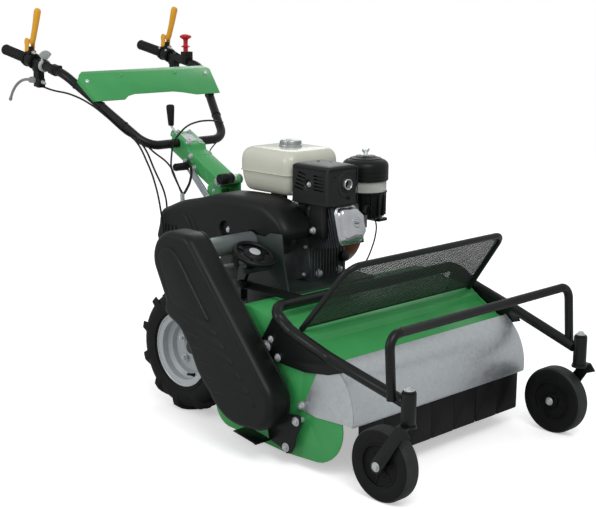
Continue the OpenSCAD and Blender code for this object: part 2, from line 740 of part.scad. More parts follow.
module rounded_box(lo, hi, r) {
    hull() for (x = [lo.x + r, hi.x - r], y = [lo.y + r, hi.y - r])
        translate([x, y, lo.z]) cylinder(r = r, h = hi.z - lo.z, $fn = 32);
}

module fuel_tank() {
    lo = [tank_x - tank_w / 2, tank_y[0], tank_z];
    hi = [tank_x + tank_w / 2, tank_y[1], tank_z + tank_h];
    color(ivory) difference() {
        union() {
            hull() {
                rounded_box(lo + [0, 0, 26], hi - [0, 0, 20], 22);
                rounded_box(lo + [14, 14, 0], hi + [-14, -14, 0], 16);
            }
            rounded_box([lo.x - 4, lo.y - 4, tank_z + 66], [hi.x + 4, hi.y + 4, tank_z + 69], 26);
        }
        translate([tank_x, crank_y + 45, tank_z + tank_h - 6]) cylinder(r = 24, h = 7);
    }
}

module fuel_cap() {
    color(steel) translate([tank_x, crank_y + 45, tank_z + tank_h]) {
        translate([0, 0, -5.5]) cylinder(r = 24 - gap, h = 6);
        translate([0, 0, gap]) cylinder(r = 37, h = 22);
    }
}

module filter_disc(z0, z1, r) {
    translate([filter_c.x, filter_c.y, z0]) cylinder(r = r, h = z1 - z0);
}

module air_filter_body() {
    color(black) {
        filter_disc(filter_z, band_z, filter_r - 4);
        translate([filter_c.x + 44, filter_c.y - 22, filter_z - 16]) cube([36, 44, 90]);
        translate([46, carb_c.y + 20, carb_c.z + 9]) cube([filter_c.x - 86, 32, 40]);
    }
}

module air_filter_band() {
    color("#d8dad8") filter_disc(band_z + 0.1, band_z + band_h, filter_r - 6);
}

module air_filter_lid() {
    z0 = band_z + band_h + 0.1;
    color(black) translate([filter_c.x, filter_c.y, z0]) {
        rotate_extrude() polygon([[0, 0], [filter_r, 0], [filter_r, 44], [filter_r - 12, 60], [30, lid_h - 10],
            [0, lid_h - 10]]);
        cylinder(r = 14, h = lid_h);
    }
}

module carburettor() {
    c = carb_c;
    color("#85898b") {
        translate(c + [-30, -20, -22]) cube([56, 40, 40]);
        translate(c + [4, 0, -60]) cylinder(r = 19, h = 38);
        translate(c + [4, 0, -68]) cylinder(r = 6, h = 8);
    }
}

module fan_shroud() {
    color("#8c1f26") difference() {
        union() {
            rod_x(shroud_x, shroud_x + shroud_w, [crank_y, crank_z], shroud_r);
            translate([shroud_x, crank_y - 110, crank_z]) cube([shroud_w, 220, 122]);
            rod_x(shroud_x + shroud_w, shroud_x + shroud_w + 26, [crank_y, crank_z], starter_r);
        }
        rod_x(shroud_x - 1, shroud_x + 34, [crank_y, crank_z], shroud_r - 14);
        filter_disc(filter_z - 20, filter_z + 200, filter_r + 4);
    }
}

module recoil_handle() {
    dir = [0, sin(30), cos(30)];
    c = [shroud_x + shroud_w + 13, crank_y, crank_z] + (starter_r + gap) * dir;
    color(black) {
        rod(c, c + 18 * dir, 6);
        translate(c + 18 * dir) rotate([atan2(-dir.y, dir.z), 0, 0])
            translate([-9, -34, 0]) cube([18, 68, 14]);
    }
}

module crankshaft() {
    color(steel) {
        rod_x(-side_belt_x - 20, shroud_x + 30, [crank_y, crank_z], crank_r);
        rod_x(shroud_x + 4, shroud_x + 28, [crank_y, crank_z], flywheel_r);
    }
}

module crank_pulleys() {
    color(cast_grey) {
        pulley(-side_belt_x, [crank_y, crank_z], upper_pulley_r, crank_r + run_gap, pulley_w);
        pulley(-main_belt_x, [crank_y, crank_z], engine_pulley_r, crank_r + run_gap, pulley_w);
    }
}

main_outline = [[258, crank_z - 72], [246, crank_z + 28], [216, crank_z + 50], [150, crank_z + 76],
    [60, crank_z + 96], [-20, crank_z + 120], [-64, crank_z + 125], [-200, crank_z + 128],
    [-262, crank_z + 120], [-320, crank_z + 90],
    [-352, crank_z + 56], [-358, crank_z + 34], [-336, crank_z + 12], [-300, crank_z]];

module main_belt_cover() {
    color(black) difference() {
        union() {
            along_x(-main_cover_x[1] + 8, -main_cover_x[0]) polygon(main_outline);
            along_x(-main_cover_x[1], -main_cover_x[1] + 8) polygon(inset(main_outline, 6));
        }
        along_x(-main_cover_x[1] + cover_t, -main_cover_x[0] + 1)
            polygon(concat(inset(main_outline, 6 + cover_t), [[-286, crank_z - 90], [240, crank_z - 90]]));
        rod_x(-main_cover_x[1] - 1, -main_cover_x[0], [crank_y, crank_z], tube_r + 4);
        rod_x(-main_cover_x[1] - 1, -main_cover_x[0], [-73, crank_z + 22], 20);
    }
}

// ---------------------------------------------------------------- column and handlebar

module column_base() {
    color(green) difference() {
        union() {
            both_sides() along_x(base_half - 6, base_half) polygon([[tower_y[1], tower_top - 60],
                [178, tower_top - 60], [178, col_pivot.y - 24], [col_pivot.x + 16, col_pivot.y + 14],
                [col_pivot.x - 12, col_pivot.y + 14], [tower_y[1], col_pivot.y - 4]]);
            translate([-base_half + 6, tower_y[1], tower_top - 60]) cube([2 * base_half - 12, 5, 84]);
        }
        rod_x(-base_half - 1, base_half + 1, col_pivot, 8 + run_gap);
        rod_x(-base_half - 1, -base_half + 7, strut_low, 6 + run_gap);
    }
}

module column_frame() {
    translate([0, col_pivot.x, col_pivot.y]) rotate([col_angle, 0, 0]) children();
}

module column() {
    w = column_w / 2;
    color(green) difference() {
        union() {
            column_frame() {
                translate([-w, 12, 3 - col_h]) cube([column_w, col_l - 12, col_h]);
                translate([-w, 190, 3]) cube([column_w, 88, 14]);
                for (x = [-26, -2]) translate([x, col_l, -14]) cube([4, 24, 24]);
            }
            rod_x(-w, w, col_pivot, 15);
            rod_x(-w - 26, -w, strut_top, 6);
        }
        column_frame() translate([-w + col_wall, 30, 3 - col_h + col_wall])
            cube([column_w - 2 * col_wall, col_l - 50, col_h - 2 * col_wall]);
        rod_x(-w, w, gear_pivot, 4 + run_gap);
        rod_x(-w - 1, w + 1, col_pivot, 8 + run_gap);
        rod_x(-w - 1, w + 1, [bar_mid.y, bar_mid.z], bar_r + run_gap);
    }
}

module column_strut() {
    low = strut_low;
    top = strut_top;
    d = unit(top - low);
    color(zinc) difference() {
        along_x(-base_half - 7, -base_half - 1) polygon(belt(low, 13, top + 16 * d, 13));
        rod_x(-base_half - 8, -base_half, low, 6 + run_gap);
        along_x(-base_half - 8, -base_half) polygon(belt(top - 12 * d, 7, top + 12 * d, 7));
    }
}

module handlebar() {
    color(black) bent_bar([bar_end, bar_high, bar_corner, flip(bar_corner), flip(bar_high), flip(bar_end)],
        [110, 75, 75, 110], bar_r);
}

module grips() {
    color(rubber) {
        for (s = [0, 1]) mirror([s, 0, 0]) difference() {
            rod(bar_end - grip_l * bar_dir, bar_end + grip_cap * bar_dir, grip_r);
            rod(bar_end - (grip_l + 1) * bar_dir, bar_end, bar_r + run_gap);
        }
        difference() {
            rod_x(-column_w / 2 - 70, -column_w / 2 - 18, strut_top, 13);
            rod_x(-column_w / 2 - 27, -column_w / 2 - 17, strut_top, 6 + run_gap);
        }
    }
}

dash_low = [481.8, 949.1];
dash_top = [572, 1042.1];
dash_w = 290;

module dash_panel() {
    up = unit([0, dash_top.x - dash_low.x, dash_top.y - dash_low.y]);
    h = norm(dash_top - dash_low);
    outline = [[-dash_w + 22, 0], [-150, 0], [-128, 14], [-100, 20], [70, 20], [110, 14], [170, 0],
        [dash_w - 12, 0], [dash_w, 108], [dash_w - 24, h], [-dash_w + 26, h], [-dash_w, h - 22]];
    color(green) lean(dash_low, up) {
        linear_extrude(height = 3) polygon(outline);
        translate([-dash_w + 30, h - 3, -26]) cube([2 * dash_w - 44, 3, 28]);
    }
}

lever_c = bar_end - (grip_l + 28) * bar_dir;
clutch_yz = [lever_c.y + 6, lever_c.z + 35];
clutch_tip = [lever_c.y - 55, lever_c.z + 170];
brake_yz = [lever_c.y - 38, lever_c.z - 66];
knob_c = [grip_x - 8, 690, 1088];

module lever_housings() {
    color(black) for (s = [0, 1]) mirror([s, 0, 0]) {
        c = lever_c;
        difference() {
            union() {
                rod(c - 26 * bar_dir, c + 24 * bar_dir, bar_r + 9);
                translate([c.x - 9, clutch_yz.x - 14, c.z + 12]) cube([18, 28, 34]);
                translate([c.x - 12, c.y - 62, c.z - 89]) cube([24, 32, 84]);
            }
            rod(c - 80 * bar_dir, c + 60 * bar_dir, bar_r + run_gap);
            rod_x(c.x - 14, c.x + 14, clutch_yz, 4 + run_gap);
            rod_x(c.x - 14, c.x + 14, brake_yz, 4 + run_gap);
        }
    }
    color(black) difference() {
        translate([knob_c.x - 13, knob_c.y - 14, knob_c.z - 46]) cube([36, 28, 46]);
        rod(flip(lever_c) - 260 * bar_dir, flip(lever_c), bar_r + run_gap);
        translate([knob_c.x, knob_c.y, knob_c.z - 20]) cylinder(r = 9 + run_gap, h = 21);
    }
}

module clutch_lever(side) {
    c = lever_c;
    color("#e0a526") mirror([side < 0 ? 0 : 1, 0, 0]) {
        rod_x(c.x - 16, c.x + 16, clutch_yz, 4);
        for (x = [c.x - 15, c.x + 9.5])
            along_x(x, x + 5.5) polygon(belt(clutch_yz, 9, clutch_yz + [-4, 34], 9));
        translate([c.x - 15, clutch_yz.x - 15, clutch_yz.y + 26]) cube([30, 18, 14]);
        rod([c.x, clutch_yz.x - 6, clutch_yz.y + 34], [c.x, clutch_tip.x, clutch_tip.y], 9);
        translate([c.x, clutch_tip.x, clutch_tip.y]) sphere(r = 10);
    }
}

module brake_lever() {
    c = lever_c;
    h = brake_yz;
    color("#9a9ea0") {
        for (x = [c.x - 16, c.x + 12.3]) along_x(x, x + 3.7) polygon(belt(h, 9, h + [22, 2], 7));
        rod_x(c.x - 16, c.x + 16, h, 4);
        along_x(c.x - 16, c.x + 16) polygon(belt(h + [22, 2], 7, h + [30, 2], 7));
        along_x(c.x - 6, c.x + 6) polygon(strip(arc(h + [60, -128], 130, 104, 28, 10), 9));
    }
}

module throttle_lever() {
    c = lever_c - 82 * bar_dir;
    color("#c9cbcb") difference() {
        union() {
            rod(c - 7 * bar_dir, c + 5 * bar_dir, bar_r + 7);
            translate([c.x - 4, c.y - 5, c.z + 16]) cube([8, 9, 34]);
        }
        rod(c - 20 * bar_dir, c + 20 * bar_dir, bar_r + run_gap);
    }
}

module stop_knob() {
    color("#c3212b") translate(knob_c) {
        translate([0, 0, -12]) cylinder(r = 9, h = 62);
        translate([0, 0, 16]) cylinder(r = 16, h = 4);
        translate([0, 0, 48]) cylinder(r1 = 16, r2 = 22, h = 6);
        translate([0, 0, 54]) cylinder(r1 = 22, r2 = 12, h = 10);
    }
}

module gear_lever() {
    color(black) {
        rod([-12, gear_pivot.x, gear_pivot.y], [-12, 406, 860], 5);
        rod([-12, 406, 857], [-12, 410, 928], 12);
        rod_x(-22 + gap, -2 - gap, gear_pivot, 8);
        rod_x(-28, 4, gear_pivot, 4);
    }
}

// Smooth tube of radius r through the points p, with n rings between each pair.
module cable(p, n, r) {
    m = len(p);
    last = (m - 1) * n;
    at = [for (k = [0:last]) let (i = min(floor(k / n), m - 2), t = k / n - i,
        a = p[max(i - 1, 0)], b = p[i], c = p[i + 1], d = p[min(i + 2, m - 1)])
        b + t * (c - a) / 2 + t * t * (a - 2.5 * b + 2 * c - d / 2)
            + t * t * t * (1.5 * b - a / 2 - 1.5 * c + d / 2)];
    ring = [for (k = [0:last])
        let (u = unit(at[min(k + 1, last)] - at[max(k - 1, 0)]), v = unit(cross([1, 0, 0], u)))
        each [for (j = [0:7]) at[k] + r * (cos(45 * j) * v + sin(45 * j) * cross(u, v))]];
    sides = [for (k = [0:last - 1], j = [0:7])
        [8 * k + j, 8 * k + 8 + j, 8 * k + 8 + (j + 1) % 8, 8 * k + (j + 1) % 8]];
    polyhedron(ring, concat(sides, [[for (j = [0:7]) j], [for (j = [7:-1:0]) 8 * last + j]]));
}

module control_cables() {
    color(rubber) for (route = cable_routes) cable(route, 3, cable_r);
}

module fasteners() {
    color(steel) {
        both_sides() {
            rod_x(in_w - 8, gusset_x + gusset_t + 1, pivot, 8);
            rod_x(gusset_x + gusset_t + 0.5, gusset_x + gusset_t + 8, pivot, 13);
            rod_x(in_w - 4, cap_x + hood_t + 1, hood_pivot, 5);
        }
        for (c = foot_bolts) {
            rod_x(-back_x + touch, -half_w - touch, c, 8);
            rod_x(-back_x - back_t - 7, -back_x - back_t - touch, c, 10);
        }
        rod_x(-base_half - 6, base_half + 6, col_pivot, 8);
        rod_x(-base_half - 12, -base_half + 2, strut_low, 6);
        rod_x(-base_half - 15, -base_half - 7.3, strut_low, 10);
        rod_x(-side_belt_x + 10, -back_x, idler_pivot, 6);
    }
}

place() deck_shell();
place() deck_sides();
place() chassis_frame();
place() shaft_bearings();
place() belt_back_plate();
place() side_belt_cover();
place() drive_belts();
place() cross_tube();
place() gearbox();
place() main_belt_cover();
place() mesh_guard();
place() column_base();
place() crankcase();
place() cylinder_head();
place() head_cover();
place() muffler();
place() muffler_shield();
place() fuel_tank();
place() air_filter_body();
place() air_filter_band();
place() air_filter_lid();
place() carburettor();
place() fan_shroud();
place() fasteners();
place() crankshaft();
place() crank_pulleys();
place() rotor();
place() flails();
place() rotor_pulley();
place() gearbox_pulley();
place() tension_idler();
place() tyre(-1);  // tyre_right
place() rim(-1);  // rim_right
place() half_shaft(-1);  // half_shaft_right
place() tyre(1);  // tyre_left
place() rim(1);  // rim_left
place() half_shaft(1);  // half_shaft_left
place() front_frame();
place() caster_fork(-1);  // caster_fork_right
place() caster_wheel(-1);  // caster_wheel_right
place() caster_fork(1);  // caster_fork_left
place() caster_wheel(1);  // caster_wheel_left
place() front_hood();
place() rubber_flaps();
place() handwheel();
place() column();
place() handlebar();
place() grips();
place() dash_panel();
place() lever_housings();
place() clutch_lever(-1);  // clutch_lever_right
place() clutch_lever(1);  // clutch_lever_left
place() brake_lever();
place() stop_knob();
place() gear_lever();
place() throttle_lever();
place() fuel_cap();
place() recoil_handle();
place() column_strut();
place() control_cables();
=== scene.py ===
# %% [markdown]
# This notebook dresses the frame of a walk-behind flail mower: a two-wheeled petrol tractor that
# pushes a cutting deck. The frame is loaded first. It holds every rigid piece at its true place, in
# metres, and the new pieces are fitted to it.

# %% Load the frame
import bpy
import bmesh
import math
import json
from mathutils import Matrix, Vector

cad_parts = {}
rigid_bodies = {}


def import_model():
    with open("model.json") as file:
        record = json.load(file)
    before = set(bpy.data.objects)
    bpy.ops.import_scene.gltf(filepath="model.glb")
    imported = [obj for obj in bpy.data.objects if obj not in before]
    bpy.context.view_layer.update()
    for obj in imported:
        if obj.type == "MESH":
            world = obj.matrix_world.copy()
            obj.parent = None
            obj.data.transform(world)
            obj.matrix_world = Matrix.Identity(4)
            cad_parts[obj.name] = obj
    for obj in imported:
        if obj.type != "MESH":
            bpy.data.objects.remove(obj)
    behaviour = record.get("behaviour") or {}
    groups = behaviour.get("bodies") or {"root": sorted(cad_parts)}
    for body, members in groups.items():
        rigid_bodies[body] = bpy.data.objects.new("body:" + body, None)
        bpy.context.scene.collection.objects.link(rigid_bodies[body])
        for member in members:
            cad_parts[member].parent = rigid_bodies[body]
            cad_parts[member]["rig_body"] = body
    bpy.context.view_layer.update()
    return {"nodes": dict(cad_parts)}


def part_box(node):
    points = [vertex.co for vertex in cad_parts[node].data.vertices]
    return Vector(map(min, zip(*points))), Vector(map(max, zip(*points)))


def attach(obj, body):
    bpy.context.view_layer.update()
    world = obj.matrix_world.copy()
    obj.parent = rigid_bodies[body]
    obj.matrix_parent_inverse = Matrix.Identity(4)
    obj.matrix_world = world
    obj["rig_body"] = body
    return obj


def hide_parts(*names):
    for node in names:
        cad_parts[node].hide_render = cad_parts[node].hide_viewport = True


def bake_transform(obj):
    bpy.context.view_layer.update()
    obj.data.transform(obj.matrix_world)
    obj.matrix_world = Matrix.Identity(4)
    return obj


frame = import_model()
print("nodes in the frame:", len(frame["nodes"]))

# %% [markdown]
# The machine has a natural zero: the middle of the drive axle, on the ground. All sizes below are in
# millimetres from there: x to the machine's left, y back to the handlebar, z up. One function turns
# them into places in the frame.

# %% The machine's own zero
left_tyre, right_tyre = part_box("tyre_left"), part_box("tyre_right")
zero = Vector(((left_tyre[0][0] + right_tyre[1][0]) / 2, (left_tyre[0][1] + left_tyre[1][1]) / 2, 0))


def at(x, y, z):
    """A place on the machine, given in mm from its zero, as a vector in metres in the frame."""
    return Vector((x, y, z)) / 1000 + zero


# Ways on the machine, as its driver names them, and the two shafts that most places are taken from.
LEFT, RIGHT, FRONT, BACK, UP = (1, 0, 0), (-1, 0, 0), (0, -1, 0), (0, 1, 0), (0, 0, 1)
SIDES = ((-1, "right"), (1, "left"))
AXLE_Z = 202
CRANK_Y, CRANK_Z = -215, 572
print("zero of the machine:", [round(v, 4) for v in zero])

# %% [markdown]
# The view is that of a person who stands in front of the machine, on its right side, and looks down
# on it a little. A long lens keeps the shapes undistorted.

# %% Camera
azimuth, elevation, roll = math.radians(-44.932), math.radians(11.941), math.radians(0.501)
back = Vector((math.sin(azimuth) * math.cos(elevation), -math.cos(azimuth) * math.cos(elevation),
               math.sin(elevation)))
right = Vector((math.cos(azimuth), math.sin(azimuth), 0))
up = back.cross(right)
turned_right = math.cos(roll) * right + math.sin(roll) * up
turned_up = math.cos(roll) * up - math.sin(roll) * right
lens = bpy.data.cameras.new("camera")
lens.lens, lens.sensor_width, lens.clip_end = 78.5, 36, 60
camera = bpy.data.objects.new("camera", lens)
bpy.context.scene.collection.objects.link(camera)
camera.matrix_world = Matrix.Translation(at(-2857.6, -3070.5, 1353.5)) @ Matrix(
    (turned_right, turned_up, back)).transposed().to_4x4()
bpy.context.scene.camera = camera
print("camera: %.1f mm lens" % lens.lens)

# %% [markdown]
# Enamel, galvanised sheet and rubber are judged by soft light from all sides, as in a white studio.
# The world gives most of it. One large lamp over the front and one at the side model the shapes, and
# the background is plain white only for the eye of the camera and for reflections.

# %% World and lamps
scene = bpy.context.scene
scene.view_settings.view_transform = "Standard"
world = bpy.data.worlds.new("studio")
scene.world = world
world.use_nodes = True


def add_node(tree, kind, inputs=(), links=(), **settings):
    """Adds a node with its settings, its input values and its links."""
    node = tree.nodes.new(kind)
    for name, value in settings.items():
        setattr(node, name, value)
    for name, value in dict(inputs).items():
        node.inputs[name].default_value = value
    for name, source in dict(links).items():
        tree.links.new(source, node.inputs[name])
    return node


tree = world.node_tree
tree.nodes.clear()
path = add_node(tree, "ShaderNodeLightPath")
seen = add_node(tree, "ShaderNodeMath", links={0: path.outputs["Is Camera Ray"],
                                               1: path.outputs["Is Transmission Ray"]}, operation="MAXIMUM")
soft = add_node(tree, "ShaderNodeBackground", {"Color": (1, 1, 1, 1), "Strength": 0.62})
mirror = add_node(tree, "ShaderNodeBackground", {"Color": (1, 1, 1, 1), "Strength": 0.55})
plain = add_node(tree, "ShaderNodeBackground", {"Color": (1, 1, 1, 1), "Strength": 1.0})
lit = add_node(tree, "ShaderNodeMixShader", links={0: path.outputs["Is Glossy Ray"],
                                                   1: soft.outputs[0], 2: mirror.outputs[0]})
shown = add_node(tree, "ShaderNodeMixShader", links={0: seen.outputs[0], 1: lit.outputs[0],
                                                     2: plain.outputs[0]})
add_node(tree, "ShaderNodeOutputWorld", links={"Surface": shown.outputs[0]})


def lamp(name, place, aim, size, power):
    """A round area lamp at a place, turned towards its aim; metres and watts."""
    light = bpy.data.lights.new(name, "AREA")
    light.shape, light.size, light.energy = "DISK", size, power
    thing = bpy.data.objects.new(name, light)
    scene.collection.objects.link(thing)
    thing.location = place
    thing.rotation_euler = (Vector(aim) - Vector(place)).to_track_quat("-Z", "Y").to_euler()


lamp("key", (-1.6, -2.8, 3.6), aim=(0, -0.2, 0.5), size=2.2, power=66)
lamp("side", (-3.4, 1.0, 2.0), aim=(0, 0, 0.5), size=1.6, power=26)
lamp("far", (2.8, 2.2, 2.6), aim=(0, 0, 0.6), size=1.8, power=20)

# %% [markdown]
# The machine stands on a plain pale floor that keeps a soft shadow. To the camera the floor is the
# same white as the background, so that no horizon shows.

# %% Floor
bpy.ops.mesh.primitive_plane_add(size=40, location=(0, 0, 0))
floor = bpy.context.object
floor.name = "floor"
paper = bpy.data.materials.new("floor_paper")
paper.use_nodes = True
tree = paper.node_tree
tree.nodes.clear()
path = add_node(tree, "ShaderNodeLightPath")
matt = add_node(tree, "ShaderNodeBsdfDiffuse", {"Color": (0.93, 0.93, 0.93, 1)})
dull = add_node(tree, "ShaderNodeBsdfDiffuse", {"Color": (0.6, 0.6, 0.6, 1)})
bright = add_node(tree, "ShaderNodeEmission", {"Color": (1, 1, 1, 1), "Strength": 0.42})
both = add_node(tree, "ShaderNodeAddShader", links={0: matt.outputs[0], 1: bright.outputs[0]})
seen = add_node(tree, "ShaderNodeMixShader", links={0: path.outputs["Is Camera Ray"], 1: dull.outputs[0],
                                                    2: both.outputs[0]})
add_node(tree, "ShaderNodeOutputMaterial", links={"Surface": seen.outputs[0]})
floor.data.materials.append(paper)
print("floor:", [round(side, 1) for side in floor.dimensions], "m")

# %% [markdown]
# Paints, plastics and metals come next. Colours are written as the eye knows them, as sRGB hex, and
# turned to the linear values that Blender counts in. Every finish starts from its real material: the
# IOR and roughness of enamel or rubber, and patterns whose scale is a real size.

# %% Colour and material helpers
def linear(code):
    """An sRGB hex colour as the linear red, green, blue and alpha that a socket takes."""
    channels = [int(code[i:i + 2], 16) / 255 for i in (1, 3, 5)]
    return tuple(c / 12.92 if c <= 0.04045 else ((c + 0.055) / 1.055) ** 2.4 for c in channels) + (1,)


def finish(name, colour, roughness, metallic=0.0, **sockets):
    """A new material with a Principled shader; returns it with its tree, shader and place."""
    material = bpy.data.materials.new(name)
    material.use_nodes = True
    tree = material.node_tree
    shader = tree.nodes["Principled BSDF"]
    shader.inputs["Base Color"].default_value = linear(colour)
    shader.inputs["Roughness"].default_value = roughness
    shader.inputs["Metallic"].default_value = metallic
    for socket, value in sockets.items():
        shader.inputs[socket.replace("_", " ")].default_value = value
    place = add_node(tree, "ShaderNodeTexCoord").outputs["Object"]
    return material, tree, shader, place


def mottle(tree, shader, source, dark, light, low=0.4, high=0.6):
    """Lets a pattern run the base colour from one shade to another."""
    ramp = add_node(tree, "ShaderNodeValToRGB", links={0: source})
    ramp.color_ramp.elements[0].position, ramp.color_ramp.elements[0].color = low, linear(dark)
    ramp.color_ramp.elements[1].position, ramp.color_ramp.elements[1].color = high, linear(light)
    tree.links.new(ramp.outputs[0], shader.inputs["Base Color"])


def spread(tree, shader, source, low, high):
    """Lets a pattern run the roughness from one value to another."""
    band = add_node(tree, "ShaderNodeMapRange", {"To Min": low, "To Max": high}, {0: source})
    tree.links.new(band.outputs[0], shader.inputs["Roughness"])


def relief(tree, shader, source, depth, strength=0.5):
    """Lets a pattern raise the surface by a depth in metres."""
    bump = add_node(tree, "ShaderNodeBump", {"Strength": strength, "Distance": depth}, {"Height": source})
    tree.links.new(bump.outputs[0], shader.inputs["Normal"])

# %% [markdown]
# The deck, dash and column wear a bright green powder coat: a baked plastic skin with a faint orange
# peel, a few millimetres from crest to crest. The skin is dielectric, so it keeps an IOR of 1.5 and
# clear highlights. Paint is thinner on sharp edges, which the pointiness of the surface finds.

# %% Powder coats
def powder_coat(name, shade, deep, worn, roughness, peel=0.00012, sheen=0.5):
    """Baked enamel that drifts from its shade to a deeper one and is worn paler at its edges."""
    material, tree, shader, place = finish(name, shade, roughness, IOR=1.5, Specular_IOR_Level=sheen)
    cloud = add_node(tree, "ShaderNodeTexNoise", {"Scale": 9.0, "Detail": 4.0}, {"Vector": place})
    tone = add_node(tree, "ShaderNodeValToRGB", links={0: cloud.outputs[0]})
    tone.color_ramp.elements[0].position, tone.color_ramp.elements[0].color = 0.3, linear(deep)
    tone.color_ramp.elements[1].position, tone.color_ramp.elements[1].color = 0.7, linear(shade)
    shape = add_node(tree, "ShaderNodeNewGeometry")
    edge = add_node(tree, "ShaderNodeMapRange", {"From Min": 0.54, "From Max": 0.62, "To Max": 0.55},
                    {0: shape.outputs["Pointiness"]})
    mixed = add_node(tree, "ShaderNodeMix", {7: linear(worn)}, {0: edge.outputs[0], 6: tone.outputs[0]},
                     data_type="RGBA")
    tree.links.new(mixed.outputs[2], shader.inputs["Base Color"])
    peel_size = add_node(tree, "ShaderNodeTexNoise", {"Scale": 330.0, "Detail": 1.0}, {"Vector": place})
    relief(tree, shader, peel_size.outputs[0], peel, 0.4)
    spread(tree, shader, cloud.outputs[0], roughness - 0.05, roughness + 0.06)
    return material


green_enamel = powder_coat("green_powder_coat", "#3f9f58", "#399752", "#56ad6c", 0.33)
black_enamel = powder_coat("black_powder_coat", "#111313", "#0d0f0f", "#232526", 0.36, sheen=0.3)
plate_enamel = powder_coat("dark_green_black_enamel", "#26332e", "#1c2723", "#44524c", 0.42)
tank_enamel = powder_coat("ivory_enamel", "#c9cbbd", "#c1c4b5", "#d8dacd", 0.24, 0.00006)
red_enamel = powder_coat("red_enamel", "#8e1620", "#7c1019", "#b13a40", 0.3)
rim_enamel = powder_coat("silver_rim_enamel", "#b4babc", "#a9b0b2", "#cdd2d3", 0.34)
heat_enamel = powder_coat("heat_resistant_enamel", "#101212", "#0c0e0e", "#26282a", 0.42, sheen=0.35)

# %% [markdown]
# The belt covers are moulded polypropylene with a fine leathery grain, about half a millimetre, which
# makes them satin rather than glossy. It is drawn at 1.5 mm so that it shows.

# %% Moulded plastics
def moulded(name, shade, pale, roughness, grain=0.00018):
    """Plastic with the leathery grain of its mould; the grain's depth is in metres."""
    material, tree, shader, place = finish(name, shade, roughness, IOR=1.49, Specular_IOR_Level=0.25)
    cells = add_node(tree, "ShaderNodeTexVoronoi", {"Scale": 650.0}, {"Vector": place})
    cloud = add_node(tree, "ShaderNodeTexNoise", {"Scale": 14.0, "Detail": 5.0}, {"Vector": place})
    mottle(tree, shader, cloud.outputs[0], shade, pale, 0.35, 0.75)
    spread(tree, shader, cloud.outputs[0], roughness - 0.06, roughness + 0.08)
    relief(tree, shader, cells.outputs["Distance"], grain, 0.35)
    return material


cover_plastic = moulded("black_polypropylene", "#0f1111", "#151717", 0.42)
hard_plastic = moulded("black_polyamide", "#0d0e0f", "#131516", 0.38, 0.0001)
yellow_plastic = moulded("yellow_pvc_sleeve", "#dfa02c", "#e8ad3c", 0.36, 0.0001)
red_plastic = moulded("red_abs", "#b3161d", "#c0232a", 0.3, 0.00005)
grey_plastic = moulded("light_grey_polyamide", "#a9adac", "#b6bab9", 0.4, 0.00008)

# %% [markdown]
# The front hood is hot-dip galvanised sheet. The zinc freezes in crystals of 5 to 20 mm, the spangle,
# each with its own tone and sheen. Cells of a Voronoi pattern give each crystal one value.

# %% Zinc
def zinc_sheet(name, dark, light, size, roughness):
    """Zinc whose crystals have a size in metres."""
    material, tree, shader, place = finish(name, light, roughness, 0.85)
    bent = add_node(tree, "ShaderNodeTexNoise", {"Scale": 60.0, "Detail": 2.0}, {"Vector": place})
    moved = add_node(tree, "ShaderNodeMix", {0: 0.03}, {6: place, 7: bent.outputs["Color"]},
                     data_type="RGBA")
    crystal = add_node(tree, "ShaderNodeTexVoronoi", {"Scale": 1 / size}, {"Vector": moved.outputs[2]})
    value = add_node(tree, "ShaderNodeRGBToBW", links={0: crystal.outputs["Color"]})
    mottle(tree, shader, value.outputs[0], dark, light, 0.15, 0.85)
    spread(tree, shader, value.outputs[0], roughness - 0.07, roughness + 0.1)
    return material


galvanised = zinc_sheet("hot_dip_galvanised_sheet", "#c9cfd2", "#d3d9dc", 0.009, 0.36)
zinc_plate = zinc_sheet("blue_zinc_plate", "#adb7bb", "#b6c0c4", 0.006, 0.3)

# %% [markdown]
# Cast aluminium keeps the sandy skin of the mould and a dull grey. Plated steel is bright, with a
# fine grain. The head cover is chromed, the pulleys are grey iron.

# %% Castings and bright metal
def casting(name, dark, light, roughness, metallic, grain=0.0004):
    """Metal with a fine grain, from a sandy casting to plated steel; its depth is in metres."""
    material, tree, shader, place = finish(name, light, roughness, metallic)
    sand = add_node(tree, "ShaderNodeTexNoise", {"Scale": 420.0, "Detail": 3.0}, {"Vector": place})
    cloud = add_node(tree, "ShaderNodeTexNoise", {"Scale": 22.0, "Detail": 5.0}, {"Vector": place})
    mottle(tree, shader, cloud.outputs[0], dark, light, 0.3, 0.7)
    spread(tree, shader, cloud.outputs[0], roughness - 0.08, roughness + 0.1)
    relief(tree, shader, sand.outputs[0], grain, 0.5)
    return material


aluminium = casting("sand_cast_aluminium", "#54585a", "#6f7476", 0.5, 0.75)
dark_casting = casting("painted_casting", "#2d3032", "#3c4042", 0.48, 0.2)
iron = casting("grey_cast_iron", "#3e4143", "#55595b", 0.5, 0.6)
steel = casting("zinc_plated_steel", "#c2c6c8", "#d6dadc", 0.28, 0.6, 0.00004)
drawn_tube = casting("drawn_steel_tube", "#848f8e", "#909b9a", 0.32, 0.55, 0.00003)
lever_alloy = casting("cast_alloy_lever", "#84898c", "#989da0", 0.42, 0.5, 0.00005)
bright_cap = casting("anodised_aluminium", "#a4a9ab", "#c2c6c8", 0.35, 0.7, 0.00004)
chrome = casting("chromed_steel", "#c4c8cb", "#dadddf", 0.2, 0.95, 0.00003)

# %% [markdown]
# Tyres, flaps and grips are carbon-black rubber: nearly black, dull, with a dusty bloom. The bloom is
# a slow cloud that lifts the colour and the roughness together.

